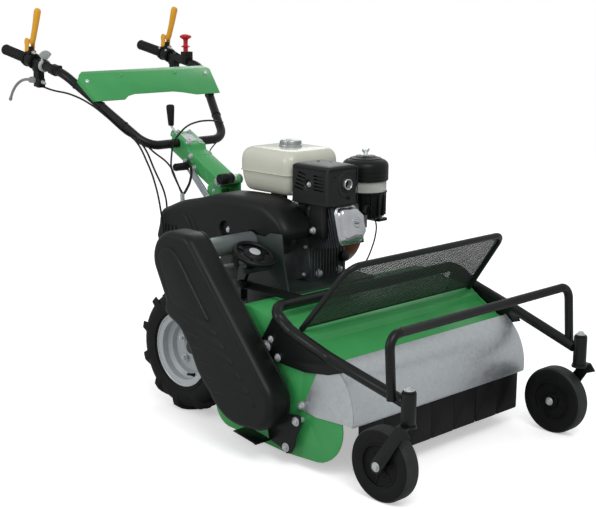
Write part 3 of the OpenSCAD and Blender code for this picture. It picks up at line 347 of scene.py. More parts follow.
# %% Rubber
def rubber(name, shade, bloom, roughness, grain=0.0003, scale=500.0):
    """Dull rubber with pores and a slow cloud of bloom."""
    material, tree, shader, place = finish(name, shade, roughness, IOR=1.52, Specular_IOR_Level=0.2)
    cloud = add_node(tree, "ShaderNodeTexNoise", {"Scale": 18.0, "Detail": 6.0}, {"Vector": place})
    pores = add_node(tree, "ShaderNodeTexNoise", {"Scale": scale, "Detail": 2.0}, {"Vector": place})
    mottle(tree, shader, cloud.outputs[0], shade, bloom, 0.4, 0.75)
    spread(tree, shader, cloud.outputs[0], roughness - 0.08, roughness + 0.08)
    relief(tree, shader, pores.outputs[0], grain, 0.4)
    return material


tyre_rubber = rubber("tyre_rubber", "#0c0d0d", "#131414", 0.62)
tread_rubber = rubber("grey_tread_rubber", "#2a2c2c", "#353737", 0.6)
flap_rubber = rubber("flap_rubber", "#0b0c0c", "#101111", 0.5, 0.0002)
grip_rubber = rubber("grip_rubber", "#131415", "#1a1b1c", 0.55, 0.0001, 900.0)
cable_rubber = rubber("cable_pvc", "#0c0d0e", "#131415", 0.4, 0.00005, 900.0)
filter_paper = rubber("filter_paper", "#b4b6b1", "#c8cac5", 0.8, 0.0005, 700.0)
print("finishes:", [material.name for material in bpy.data.materials])

# %% [markdown]
# Many frame nodes already have the true form of a casting or a bracket, but their edges are razor
# sharp. A real edge is broken by a millimetre or so and catches the light. A copy of the node is
# merged, its flat faces are joined, and a bevel rounds its edges.

# %% Helpers that finish and place a piece
def pick(thing):
    """Leaves edit mode and selects one piece only."""
    if bpy.context.object and bpy.context.object.mode != "OBJECT":
        bpy.ops.object.mode_set(mode="OBJECT")
    bpy.ops.object.select_all(action="DESELECT")
    thing.select_set(True)
    bpy.context.view_layer.objects.active = thing


def apply_modifier(thing, kind, **settings):
    """Adds a modifier with its settings and applies it at once."""
    pick(thing)
    modifier = thing.modifiers.new(kind.lower(), kind)
    for name, value in settings.items():
        setattr(modifier, name, value)
    bpy.ops.object.modifier_apply(modifier=modifier.name)


def painted(thing, name, material, smooth):
    """Applies the piece's place, names it and gives it its finish; smooth is an angle in degrees."""
    pick(thing)
    bpy.ops.object.transform_apply(location=True, rotation=True, scale=True)
    thing.name = thing.data.name = name
    thing.data.materials.clear()
    thing.data.materials.append(material)
    bpy.ops.object.shade_smooth_by_angle(angle=math.radians(smooth))
    return thing


def settle(thing, name, material, body, smooth=35, replaces=()):
    """Names and paints the piece, sets it on its body and lets it replace nodes of the frame."""
    painted(thing, name, material, smooth)
    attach(thing, body)
    if replaces:
        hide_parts(*replaces)
    print("%s: %d faces, rides %s" % (name, len(thing.data.polygons), body))
    return thing


def softened(node, material, width):
    """A copy of a frame node with rounded edges, which takes the node's place."""
    source = frame["nodes"][node]
    thing = bpy.data.objects.new(node + "_edged", source.data.copy())
    scene.collection.objects.link(thing)
    pick(thing)
    bpy.ops.object.mode_set(mode="EDIT")
    bpy.ops.mesh.select_all(action="SELECT")
    bpy.ops.mesh.remove_doubles(threshold=0.00002)
    bpy.ops.mesh.dissolve_limited(angle_limit=math.radians(1))
    bpy.ops.object.mode_set(mode="OBJECT")
    if "custom_normal" in thing.data.attributes:
        thing.data.attributes.remove(thing.data.attributes["custom_normal"])
    if width:
        apply_modifier(thing, "BEVEL", width=width / 1000, segments=2, limit_method="ANGLE",
                       angle_limit=math.radians(32), use_clamp_overlap=False)
    return settle(thing, node + "_edged", material, source["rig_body"], replaces=[node])

# %% [markdown]
# Three ways of making cover most new pieces: a plate is cut to an outline and gets its thickness by
# extrusion, a turned piece is a profile spun round an axle, and a bent wire or tube is a curve with a
# round section.

# %% Helpers that make plates and turned pieces
# The radius, in mm, at which a profile meets its axis; the ring that it spins is merged to one point.
ON_AXIS = 0.01


def outline_mesh(name, points):
    """A face with the given corners in space, made from a primitive circle with as many corners."""
    bpy.ops.object.select_all(action="DESELECT")
    bpy.ops.mesh.primitive_circle_add(vertices=len(points), radius=0.01, fill_type="NGON")
    thing = bpy.context.object
    for vertex, point in zip(thing.data.vertices, points):
        vertex.co = point
    thing.name = name
    return thing


def plate(name, points, depth):
    """A plate: the outline's points in space, pushed along the vector depth, in metres."""
    thing = outline_mesh(name, points)
    bpy.ops.object.mode_set(mode="EDIT")
    bpy.ops.mesh.select_all(action="SELECT")
    bpy.ops.mesh.extrude_region_move(TRANSFORM_OT_translate={"value": depth})
    bpy.ops.mesh.select_all(action="SELECT")
    bpy.ops.mesh.normals_make_consistent(inside=False)
    bpy.ops.object.mode_set(mode="OBJECT")
    return thing


def side_plate(name, outline, x0, x1):
    """A plate whose outline is given in the Y-Z plane and which reaches from x0 to x1."""
    return plate(name, [at(x0, y, z) for y, z in outline], ((x1 - x0) / 1000, 0, 0))


def turned(name, profile, centre, axis, steps=64):
    """A closed profile of (along, radius) pairs, in mm, spun round the axis through the centre."""
    axis = Vector(axis).normalized()
    out = axis.orthogonal().normalized()
    middle = at(*centre)
    thing = outline_mesh(name, [middle + (a * axis + r * out) / 1000 for a, r in profile])
    bpy.ops.object.mode_set(mode="EDIT")
    bpy.ops.mesh.select_all(action="SELECT")
    bpy.ops.mesh.delete(type="ONLY_FACE")
    bpy.ops.mesh.select_all(action="SELECT")
    bpy.ops.mesh.spin(steps=steps, dupli=False, angle=2 * math.pi, center=middle, axis=axis)
    bpy.ops.mesh.select_all(action="SELECT")
    bpy.ops.mesh.remove_doubles(threshold=0.00002)
    bpy.ops.mesh.normals_make_consistent(inside=False)
    bpy.ops.object.mode_set(mode="OBJECT")
    return thing


def pin(low, high, radius, centre, axis, steps=24):
    """A plain round bar that reaches from low to high along the axis, measured from the centre in mm."""
    return turned("pin", [(low, ON_AXIS), (low, radius), (high, radius), (high, ON_AXIS)], centre, axis,
                  steps)

# %% [markdown]
# A wire, tube or cable is a curve through its points that is given a round section. It is then made a
# mesh, so that it can be joined to other parts.

# %% Helper for wires and tubes
def tube(name, points, radius, sides=3, closed=False, smooth_route=True, caps=True):
    """A round bar through the points, which are vectors in metres; the radius is in mm."""
    bpy.ops.object.select_all(action="DESELECT")
    bpy.ops.curve.primitive_nurbs_path_add()
    thing = bpy.context.object
    curve = thing.data
    curve.splines.clear()
    spline = curve.splines.new("BEZIER" if smooth_route else "POLY")
    if smooth_route:
        spline.bezier_points.add(len(points) - 1)
        for knot, point in zip(spline.bezier_points, points):
            knot.co = point
            knot.handle_left_type = knot.handle_right_type = "AUTO"
    else:
        spline.points.add(len(points) - 1)
        for knot, point in zip(spline.points, points):
            knot.co = (*point, 1)
    spline.use_cyclic_u = closed
    curve.resolution_u, curve.bevel_resolution = 8, sides
    curve.bevel_depth, curve.use_fill_caps = radius / 1000, caps
    bpy.ops.object.convert(target="MESH")
    thing = bpy.context.object
    thing.name = name
    return thing

# %% [markdown]
# A real piece is often an assembly of simple parts that repeat, such as ribs or spokes. One part is
# drawn, copied by a matrix for each place, and all are joined to one piece.

# %% Helpers that join, copy and turn
def joined(things):
    """Several meshes made one piece; the first gives the name."""
    bpy.ops.object.select_all(action="DESELECT")
    for thing in things:
        thing.select_set(True)
    bpy.context.view_layer.objects.active = things[0]
    bpy.ops.object.join()
    return bpy.context.object


def copies(thing, moves):
    """The piece repeated by each matrix, each copy with its own mesh, joined to one."""
    made = []
    for move in moves:
        other = bpy.data.objects.new(thing.name, thing.data.copy())
        scene.collection.objects.link(other)
        other.data.transform(move)
        made.append(other)
    bpy.data.objects.remove(thing)
    return joined(made)


def about(centre, axis, degrees):
    """The matrix that turns round an axis through a point of the machine, in degrees."""
    middle = at(*centre)
    return Matrix.Translation(middle) @ Matrix.Rotation(math.radians(degrees), 4, Vector(axis)) \
        @ Matrix.Translation(-middle)

# %% [markdown]
# Blocks with rounded edges and hexagon bolts are common enough to have functions of their own. A bolt
# is a head, with or without a washer and the domed end of its shank.

# %% Helpers for blocks and bolts
def box(name, lo, hi, edge=1.0, segments=2):
    """A block between two corners in mm, with its edges rounded."""
    low, high = at(*lo), at(*hi)
    bpy.ops.object.select_all(action="DESELECT")
    bpy.ops.mesh.primitive_cube_add(size=1, location=(low + high) / 2)
    thing = bpy.context.object
    thing.scale = high - low
    bpy.ops.object.transform_apply(location=True, rotation=True, scale=True)
    thing.name = name
    if edge:
        apply_modifier(thing, "BEVEL", width=edge / 1000, segments=segments)
    return thing


def hex_bolt(name, centre, axis, across=19, head=8, washer=True, dome=True):
    """A hexagon head with its washer; the axis points away from the plate."""
    axis = Vector(axis).normalized()
    bpy.ops.object.select_all(action="DESELECT")
    bpy.ops.mesh.primitive_cylinder_add(vertices=6, radius=across / math.sqrt(3) / 1000, depth=head / 1000)
    thing = bpy.context.object
    apply_modifier(thing, "BEVEL", width=across * 0.00006, segments=2)
    lift = 1.5 if washer else 0
    parts = [thing]
    thing.location = (0, 0, (head / 2 + lift) / 1000)
    if washer:
        bpy.ops.mesh.primitive_cylinder_add(vertices=32, radius=across * 0.00078, depth=0.0018)
        parts.append(bpy.context.object)
        parts[-1].location = (0, 0, 0.0009)
        apply_modifier(parts[-1], "BEVEL", width=0.0004, segments=1)
    if dome:
        bpy.ops.mesh.primitive_cylinder_add(vertices=24, radius=across * 0.00031, depth=0.003)
        parts.append(bpy.context.object)
        parts[-1].location = (0, 0, (head + lift + 1) / 1000)
        apply_modifier(parts[-1], "BEVEL", width=0.001, segments=2)
    for part in parts:
        pick(part)
        bpy.ops.object.transform_apply(location=True, rotation=True, scale=True)
    thing = joined(parts) if len(parts) > 1 else thing
    thing.data.transform(Matrix.Translation(at(*centre)) @ axis.to_track_quat("Z", "Y").to_matrix().to_4x4())
    thing.name = name
    return thing

# %% [markdown]
# First the castings, brackets and shafts whose form is right as it stands: they only need broken edges
# and their finish. The table names each node's material and the width of its edge in millimetres.

# %% Edged copies of the frame's plain pieces
plain_pieces = {
    "deck_shell": (green_enamel, 0.6), "deck_sides": (green_enamel, 1.0),
    "chassis_frame": (plate_enamel, 1.0), "shaft_bearings": (iron, 0.8),
    "belt_back_plate": (black_enamel, 1.0),
    "cross_tube": (drawn_tube, 0.8), "gearbox": (dark_casting, 3.0),
    "column_base": (green_enamel, 1.0),
    "crankcase": (dark_casting, 1.2), "cylinder_head": (dark_casting, 0.8),
    "carburettor": (aluminium, 1.5), "fan_shroud": (red_enamel, 3.0),
    "crankshaft": (steel, 0.6), "crank_pulleys": (iron, 0.6), "rotor": (dark_casting, 0.8),
    "flails": (iron, 1.0), "rotor_pulley": (iron, 0.6), "gearbox_pulley": (iron, 0.6),
    "tension_idler": (iron, 0.8), "half_shaft_right": (iron, 0.8), "half_shaft_left": (iron, 0.8),
    "front_frame": (black_enamel, 0.4), "caster_fork_right": (black_enamel, 1.0),
    "caster_fork_left": (black_enamel, 1.0),
    "handwheel": (hard_plastic, 0.3), "handlebar": (black_enamel, 0),
    "lever_housings": (hard_plastic, 1.5), "recoil_handle": (hard_plastic, 2.0),
    "column_strut": (zinc_plate, 0.8), "drive_belts": (flap_rubber, 0.6),
    "rim_right": (rim_enamel, 0), "rim_left": (rim_enamel, 0),
    "caster_wheel_right": (tyre_rubber, 1.0),
    "caster_wheel_left": (tyre_rubber, 1.0),
}
edged = {node: softened(node, material, width) for node, (material, width) in plain_pieces.items()}
print("edged copies:", len(plain_pieces))

# %% [markdown]
# Some pieces change their section along their length: a tyre lug, a lever, a moulded cover. They are
# drawn as a row of rings. The first ring is a face, and each next ring is one extrusion whose corners
# are moved to their places.

# %% Helper for pieces drawn ring by ring
def lofted(name, rings):
    """Rings of points in metres, all with the same number of corners; both ends are closed."""
    thing = outline_mesh(name, rings[0])
    bpy.ops.object.mode_set(mode="EDIT")
    bpy.ops.mesh.select_mode(type="FACE")
    bpy.ops.mesh.select_all(action="SELECT")
    last = [Vector(p) for p in rings[0]]
    for ring in rings[1:]:
        bpy.ops.mesh.extrude_region_move()
        mesh = bmesh.from_edit_mesh(thing.data)
        fresh = [v for v in mesh.verts if v.select]
        found = [min(fresh, key=lambda v: (v.co - p).length_squared) for p in last]
        for vertex, point in zip(found, ring):
            vertex.co = point
        bmesh.update_edit_mesh(thing.data)
        last = [v.co.copy() for v in found]
    bpy.ops.mesh.select_all(action="SELECT")
    bpy.ops.mesh.normals_make_consistent(inside=False)
    bpy.ops.object.mode_set(mode="OBJECT")
    return thing

# %% [markdown]
# The tyres are small tractor tyres, 4.00-8 by size: a smooth carcass with eleven slanted lugs on each
# side, which grip soft ground. The lugs of the two sides are half a step apart. One lug is drawn and
# copied round the axle, each copy with its own mesh, before all are joined to the carcass.

# %% Tyres with lugs
carcass = [(-33, 101.5), (-33, 112), (-36, 118), (-42, 122), (-46.5, 130), (-49, 146), (-48, 164),
           (-43, 177), (-34, 184), (-20, 187.5), (0, 188.5), (20, 187.5), (34, 184), (43, 177),
           (48, 164), (49, 146), (46.5, 130), (42, 122), (36, 118), (33, 112), (33, 101.5),
           (22, 101.5), (30, 122), (36, 150), (30, 172), (0, 178), (-30, 172), (-36, 150), (-30, 122),
           (-22, 101.5)]
LUGS = 11
LUG_R = 190
WHEEL_X = 272
lug_route = [(3, 186, 202, 0), (-10, 186, 202, 4), (-24, 184, 201.3, 8.5), (-36, 180, 199, 12.5),
             (-44, 172, 192, 15), (-48.5, 162, 177, 16.5), (-48.8, 150, 160, 17)]


def lug(side, wheel_x):
    """One slanted lug on one side of the tyre, drawn from the middle of the tread to the flank."""
    rings = []
    for x, low, high, turn in lug_route:
        ring = [(low - 6, 19), (high - 2, 12.5), (high, 10.5)]
        corners = ring + [(r, -h) for r, h in reversed(ring)]
        # The tyre is narrower near its tread, so a lug may reach out less there.
        edge = 50 if high < 190 else 47 + 2 * (high < 195)
        points = []
        for radius, half in corners:
            angle = math.radians(turn) + half / LUG_R
            out = max(-edge, x - (3 if radius > low and x < -40 else 0))
            points.append(at(wheel_x + side * out, radius * math.cos(angle),
                             AXLE_Z + radius * math.sin(angle)))
        rings.append(points)
    thing = lofted("lug", rings)
    apply_modifier(thing, "BEVEL", width=0.0016, segments=2, limit_method="ANGLE",
                   angle_limit=math.radians(30), use_clamp_overlap=True)
    return thing


def tyre(name, wheel_x, body, node):
    """The carcass with its two rows of lugs and a bead ring on each flank."""
    centre = (wheel_x, 0, AXLE_Z)
    body_of_tyre = turned(name, carcass, centre, LEFT, 96)
    shift = 360 / LUGS
    near = copies(lug(1, wheel_x), [about(centre, LEFT, shift * i) for i in range(LUGS)])
    far = copies(lug(-1, wheel_x), [about(centre, LEFT, shift * (i + 0.5)) for i in range(LUGS)])
    rings = [turned("bead", [(s * 47, 126), (s * 48.6, 128), (s * 48.6, 131), (s * 47, 133)], centre,
                    LEFT, 96) for s in (-1, 1)]
    settle(joined([body_of_tyre, near, far, *rings]), name, tyre_rubber, body, 40, [node])


for side, word in SIDES:
    tyre("tyre_%s_lugged" % word, side * WHEEL_X, "wheel_" + word, "tyre_" + word)

# %% [markdown]
# The belt covers are moulded shells of plastic, so every edge is a soft fillet and the wall is thin.
# They are drawn as rings of one outline that shrinks as it rises, opened on their inner side and given
# their wall. The outline is smoothed through its corners first.

# %% Helpers for moulded shells
def arc(cy, cz, radius, start, end, steps):
    """Points on an arc round (cy, cz) in the Y-Z plane; angles in degrees from the back, upwards."""
    turns = [math.radians(start + (end - start) * i / steps) for i in range(steps + 1)]
    return [(cy + radius * math.cos(t), cz + radius * math.sin(t)) for t in turns]


def smooth_loop(points, parts=3):
    """A closed line through the points, rounded, with more points between."""
    n, line = len(points), []
    for i in range(n):
        a, b, c, d = (Vector(points[(i + k) % n]) for k in (-1, 0, 1, 2))
        span = (c - b).length
        leave, arrive = (c - a).normalized() * span, (d - b).normalized() * span
        for j in range(parts):
            t = j / parts
            line.append(tuple((2 * t ** 3 - 3 * t * t + 1) * b + (t ** 3 - 2 * t * t + t) * leave
                              + (3 * t * t - 2 * t ** 3) * c + (t ** 3 - t * t) * arrive))
    return line


def shrunk(points, distance):
    """The outline moved inwards by a distance at each corner."""
    n = len(points)
    area = sum(points[i][0] * points[(i + 1) % n][1] - points[(i + 1) % n][0] * points[i][1]
               for i in range(n))
    turn = 1 if area > 0 else -1
    line = []
    for i in range(n):
        a, b, c = Vector(points[i - 1]), Vector(points[i]), Vector(points[(i + 1) % n])
        u, v = (b - a).normalized(), (c - b).normalized()
        mid = Vector((-u.y - v.y, u.x + v.x)) * turn
        line.append(tuple(b + distance * mid / (1 + u.dot(v))))
    return line


def drawn_in(points, spine, distance):
    """The outline moved towards the line between the spine's two ends."""
    a, b = Vector(spine[0]), Vector(spine[1])
    line = []
    for point in points:
        p = Vector(point)
        share = min(max((p - a).dot(b - a) / (b - a).length_squared, 0), 1)
        line.append(tuple(p + (a + share * (b - a) - p).normalized() * distance))
    return line

# %% [markdown]
# A closed form becomes a cover when the faces of its open side are deleted and what is left gets its
# wall. Openings are cut with another piece.

# %% Helpers that hollow a form
def open_up(thing, chosen):
    """Deletes the faces that the test picks by their centre, from the machine's zero, and normal."""
    pick(thing)
    bpy.ops.object.mode_set(mode="EDIT")
    bpy.ops.mesh.select_mode(type="FACE")
    bpy.ops.mesh.select_all(action="DESELECT")
    mesh = bmesh.from_edit_mesh(thing.data)
    for face in mesh.faces:
        face.select = chosen((face.calc_center_median() - zero) * 1000, face.normal)
    bmesh.update_edit_mesh(thing.data)
    bpy.ops.mesh.delete(type="FACE")
    bpy.ops.object.mode_set(mode="OBJECT")


def cut(thing, cutter):
    """Takes one piece out of another and deletes the first."""
    apply_modifier(thing, "BOOLEAN", operation="DIFFERENCE", solver="EXACT", object=cutter)
    bpy.data.objects.remove(cutter)


def shell(name, outline, spine, steps, wall, chosen, cutter=None):
    """Rings of the outline at (inset, x) steps, with the chosen faces left open."""
    thing = lofted(name, [[at(x, y, z) for y, z in drawn_in(outline, spine, inset)] for inset, x in steps])
    if cutter:
        cut(thing, cutter)
    open_up(thing, chosen)
    apply_modifier(thing, "SOLIDIFY", thickness=wall / 1000, offset=-1, use_even_offset=False)
    return thing

# %% [markdown]
# The side cover hides the belt that drives the rotor. Its face carries a raised panel at the top and,
# below it, a stack of louvres like roof shingles: each is flush at its upper edge and stands about
# three millimetres proud at its lower edge, where cooling air leaves.

# %% Side belt cover
side_line = smooth_loop(arc(-165, 545, 85, 90, -25, 9)
                        + [(-125, 439), (-138, 408), (-133, 384), (-152, 366), (-184, 352), (-210, 331),
                           (-247, 281), (-280, 223)] + arc(-462, 262, 158, -34, -94, 7)
                        + arc(-510, 190, 86, 250, 137, 9) + arc(CRANK_Y, CRANK_Z, 58, 134, 100, 4), 3)
side_cover = shell("side_belt_cover_formed", side_line, ((-215, 545), (-500, 195)),
                   [(1.2, -416.4), (1.2, -422), (0.6, -424), (0.6, -468), (2, -477), (5.5, -484.5),
                    (11, -489.5), (17, -491.9), (24, -492.4)], 3,
                   lambda centre, normal: normal.x > 0.9 and centre.x > -418)
panel_line = smooth_loop([(-122, 548), (-128, 566), (-144, 579), (-168, 582), (-190, 572), (-262, 488),
                          (-332, 404), (-338, 395), (-326, 394), (-240, 408), (-190, 418), (-174, 432)], 3)
panel = lofted("panel", [[at(x, y, z) for y, z in shrunk(panel_line, inset)]
                         for inset, x in ((-2, -491.5), (0, -495), (1, -496.8), (2.4, -497.6),
                                          (4, -497.9))])
louvre_left = [(-190, 410), (-216, 376), (-243, 341), (-270, 303), (-297, 264), (-328, 226), (-362, 188)]
louvre_right = [(-350, 388), (-380, 354), (-411, 320), (-445, 284), (-482, 247), (-514, 212), (-538, 180)]
louvres = []
for (ly, lz), (my, mz), (ry, rz), (sy, sz) in zip(louvre_left, louvre_left[1:], louvre_right,
                                                  louvre_right[1:]):
    rings = []
    for share, height in ((0, 0.4), (0.04, 5.2), (0.5, 5), (0.93, 3.6), (1, 0.4)):
        top = (ly + share * (ry - ly), lz + share * (rz - lz) - 4)
        low = (my + share * (sy - my), mz + share * (sz - mz) + 4)
        rings.append([at(-491.6, *top), at(-492.6 - height, *low),
                      at(-492.4 - height * 0.7, low[0], low[1] - 3), at(-491.4, low[0], low[1] - 3.5)])
    louvres.append(lofted("louvre", rings))
    apply_modifier(louvres[-1], "BEVEL", width=0.0009, segments=2, limit_method="ANGLE")
rim_bead = tube("rim_bead", [at(-418, y, z) for y, z in shrunk(side_line, 1.4)], 1.6, 2, True, False, False)
settle(joined([side_cover, panel, rim_bead] + louvres), "side_belt_cover_formed", cover_plastic,
       "chassis", 40, ["side_belt_cover"])

# %% [markdown]
# The main cover hides the belt from the engine to the gearbox. Two seams in its flank stiffen it, and
# a round well holds one of its screws.

# %% Main belt cover
main_line = smooth_loop([(258, 500), (254, 560), (246, 600), (232, 616), (216, 622), (150, 648), (60, 668),
                         (-20, 691), (-64, 697), (-130, 700), (-200, 700), (-262, 692), (-320, 662),
                         (-350, 630), (-358, 606), (-348, 588), (-320, 576), (-300, 572), (-200, 558.5),
                         (0, 532), (160, 512.5)], 3)
passage = pin(-40, 40, 35, (-190, CRANK_Y, CRANK_Z), LEFT, 48)
well_hole = pin(-30, 20, 26, (-200, -88, 591), LEFT, 48)
slots = [box("slot", (-230, y, 543), (-190, y + 5, 568), 0) for y in (148, 166, 184, 202)]
main_cover = shell("main_belt_cover_formed", main_line, ((180, 562), (-270, 636)),
                   [(0, -92.5), (0, -170), (2, -182), (6, -192), (12, -199), (20, -203.4), (30, -205.2),
                    (38, -205.7)], 3,
                   lambda centre, normal: (normal.x > 0.9 and centre.x > -95) or (
                       abs(centre.z - (532 - 0.131 * centre.y)) < 12 and normal.z < -0.4) or (
                       abs(normal.x) < 0.2 and math.hypot(centre.y - CRANK_Y, centre.z - CRANK_Z) < 35.5),
                   joined([passage, well_hole] + slots))
seams = []
for route in (((-100, 152, 641), (-168, 146, 639.5), (-184, 140, 637.5), (-195, 132, 630), (-202, 119, 618),
               (-205, 100, 603), (-205.5, 69, 561), (-205.5, 50, 528)),
              ((-200, -20, 655), (-201, 32, 645), (-202, 66, 636), (-203, 79, 626), (-204.6, 76, 612),
               (-205.4, 63, 591), (-205.5, 40, 554), (-205.5, 26, 524))):
    seams.append(tube("seam", [at(*point) for point in route], 3.2, 2))
well = turned("well", [(-0.4, 26), (0.6, 30), (0.4, 35), (-0.6, 38), (-2.4, 36), (-2.4, 27), (-13, 25),
                       (-14, ON_AXIS), (-12, ON_AXIS), (-11.4, 24), (-4, 25)],
              (-205.6, -88, 591), RIGHT, 56)
settle(joined([main_cover, well] + seams), "main_belt_cover_formed", cover_plastic, "chassis", 40,
       ["main_belt_cover"])
settle(hex_bolt("cover_screw", (-192, -96, 588), RIGHT, 15, 8), "main_cover_screw", steel, "chassis")

# %% [markdown]
# The front hood is one sheet of galvanised steel, rolled to an arc, with a hemmed lower edge and a
# flat end plate on each side. The frame already has its arc; this one adds the hem and the round
# lugs of its hinge, and is drawn as a strip that is given its thickness.

# %% Front hood
hood_y, hood_z, hood_r = -640, 188, 175
hood_half = 390.5
HOOD_PIN = (-617, 184)


def on_hood(angle):
    """A place on the sheet's arc in the Y-Z plane; the angle is in degrees from the back, upwards."""
    return hood_y + hood_r * math.cos(math.radians(angle)), hood_z + hood_r * math.sin(math.radians(angle))


arc_line = [on_hood(a) for a in range(186, 122, -2)]
tip = arc_line[-1]
hood_line = [(arc_line[0][0] + 9, arc_line[0][1] + 1), (arc_line[0][0] + 8, arc_line[0][1] - 1.5),
             (arc_line[0][0] + 2, arc_line[0][1] - 2.5)] + arc_line
hood_sheet = side_plate("hood_sheet", hood_line, -hood_half, hood_half)
chord_y, chord_z = (hood_line[0][0] + tip[0]) / 2, (hood_line[0][1] + tip[1]) / 2
open_up(hood_sheet, lambda centre, normal: abs(normal.x) > 0.9
        or math.hypot(centre.y - chord_y, centre.z - chord_z) < 4)
apply_modifier(hood_sheet, "SOLIDIFY", thickness=0.0019, offset=0)
cheek_line = [on_hood(a) for a in range(186, 128, -4)]
cheek_line += [(-677, 294), (-628, 194), (-622, 178), (-615, 173), (-677, 164)]
parts = [hood_sheet]
for side in (-1, 1):
    ends = sorted((side * 390.6, side * 392.4))
    cheek = side_plate("cheek", cheek_line, *ends)
    apply_modifier(cheek, "BEVEL", width=0.0005, segments=1, limit_method="ANGLE")
    parts.append(cheek)
    parts.append(turned("lug", [(-1.5, 5.3), (-1.5, 14), (1.4, 13), (1.4, 5.3)],
                        (side * 391.4, *HOOD_PIN), (side, 0, 0), 32))
settle(joined(parts), "front_hood_sheet", galvanised, "hood", 40, ["front_hood"])

# %% [markdown]
# Seven strips of rubber hang under the hood and stop thrown stones. Each is cut by hand, so no
# two hang quite alike: a strip bows a little and its lower corners are worn round.

# %% Rubber flaps
flap_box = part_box("rubber_flaps")
low, high = flap_box[0] - zero, flap_box[1] - zero
pitch = (high.x - low.x) / 7
strips = []
for i in range(7):
    x0 = low.x + i * pitch + 0.0003
    x1 = x0 + pitch - 0.0009
    bow = 0.0006 * math.sin(2.1 * i)
    front, deep = low.y + 0.0002, low.y + 0.0038
    corners = [(x0, high.z), (x0, low.z + 0.006), (x0 + 0.001, low.z + 0.001 + abs(bow)),
               (x0 + 0.006, low.z + abs(bow)), (x1 - 0.006, low.z + 0.0002), (x1 - 0.001, low.z + 0.001),
               (x1, low.z + 0.006), (x1, high.z)]
    strip = plate("strip", [Vector((x, front + (bow + 0.0006 if z < low.z + 0.03 else 0), z)) + zero
                            for x, z in corners], (0, deep - front - 0.0012, 0))
    apply_modifier(strip, "BEVEL", width=0.0007, segments=2, limit_method="ANGLE")
    strips.append(strip)
rail = box("rail", (low.x * 1000, low.y * 1000 - 0.2, high.z * 1000 - 12),
           (high.x * 1000, high.y * 1000 + 0.2, high.z * 1000 - 2), 0.6)
settle(joined(strips + [rail]), "rubber_flap_strips", flap_rubber, "hood", 30, ["rubber_flaps"])

# %% [markdown]
# The guard in front of the engine is expanded metal in a bent tube. The opening of the mesh is about
# 12 by 5 mm. Its strands are drawn as two families of slanted wires that cross, cut to the shape of the
# frame, which gives the same diamonds.

# %% Mesh guard
foot_half, top_half, corner = 376, 345, 46
foot, head = Vector((-600, 399.2)), Vector((-750, 597))
rise = (head - foot).length
direction = (head - foot).normalized()


def on_guard(x, v, out=0.0):
    """A place on the guard: across, up its slope from the foot, and out of its plane."""
    y, z = foot + direction * v + Vector((-direction.y, direction.x)) * -out
    return at(x, y, z)


def edge_half(v):
    """Half the width that the mesh may fill at a height up the slope."""
    half = foot_half + (top_half - foot_half) * v / rise
    if v > rise - corner:
        short = v - (rise - corner)
        half -= corner - math.sqrt(max(corner ** 2 - short ** 2, 0))
    return half - 5


def strand(slope, start):
    """One straight wire of the mesh, cut to the frame; start is its x at the foot."""
    inside = [(start + slope * v, v) for v in range(6, int(rise) - 6, 4)
              if abs(start + slope * v) < edge_half(v)]
    if len(inside) < 4:
        return None
    ends = [inside[0], inside[-1]]
    return [on_guard(x, v, 0.35 if slope > 0 else -0.35) for x, v in ends]


wires = []
for slope in (2.35, -2.35):
    for k in range(-110, 111):
        ends = strand(slope, k * 12.6)
        if ends:
            wires.append(tube("wire", ends, 0.95, 0, smooth_route=False))
mesh_panel = joined(wires)
border = [(-foot_half, 4), (-top_half - 4, rise - corner - 8), (-top_half + 8, rise - 16),
          (-top_half + 38, rise - 4), (top_half - 38, rise - 4), (top_half - 8, rise - 16),
          (top_half + 4, rise - corner - 8), (foot_half, 4)]
inner = [(x * 0.965, v * (0.955 if v > 10 else 1) + (0 if v > 10 else 7)) for x, v in border]
frame_strips = []
for i in range(len(border)):
    a, b, c, d = border[i], border[(i + 1) % 8], inner[(i + 1) % 8], inner[i]
    frame_strips.append(plate("strip", [on_guard(x, v, 0.9) for x, v in (a, b, c, d)],
                              (on_guard(0, 0, -0.9) - on_guard(0, 0, 0.9))))
settle(joined([mesh_panel] + frame_strips), "mesh_guard_screen", black_enamel, "chassis", 30)

# %% [markdown]
# The guard's frame is one tube bent round its upper corners. Its route is the line of its corners, with
# an arc in place of each bend.

# %% Guard bar
def bent_route(points, radii, parts=6):
    """The points of a bar bent round its corners."""
    route = [points[0]]
    for before, here, after, radius in zip(points, points[1:], points[2:], radii):
        u, v = (here - before).normalized(), (after - here).normalized()
        turn = u.angle(v)
        back_off = radius * math.tan(turn / 2) / 1000
        side = (v - v.dot(u) * u).normalized()
        centre = here - back_off * u + radius / 1000 * side
        for i in range(parts + 1):
            a = turn * i / parts
            route.append(centre + radius / 1000 * (math.sin(a) * u - math.cos(a) * side))
    return route + [points[-1]]


guard_bar = tube("guard_bar", bent_route([on_guard(-foot_half, 0), on_guard(-top_half, rise),
                                          on_guard(top_half, rise), on_guard(foot_half, 0)], [46, 46]),
                 9, 4, smooth_route=False)
settle(guard_bar, "mesh_guard_bar", black_enamel, "chassis", 40, ["mesh_guard"])

# %% [markdown]
# The engine is dressed from the top down. The fuel tank is two pressed shells welded at a seam, so its
# corners are large and soft and a thin lip runs round it. It is drawn as a stack of rounded rectangles.

# %% Fuel tank and its cap
def rounded_ring(lo, hi, corner, z, parts=6):
    """A rounded rectangle at height z, between two (x, y) corners in mm."""
    ring = []
    for cx, cy, start in ((hi[0] - corner, hi[1] - corner, 0), (lo[0] + corner, hi[1] - corner, 90),
                          (lo[0] + corner, lo[1] + corner, 180), (hi[0] - corner, lo[1] + corner, 270)):
        for i in range(parts + 1):
            turn = math.radians(start + 90 * i / parts)
            ring.append(at(cx + corner * math.cos(turn), cy + corner * math.sin(turn), z))
    return ring


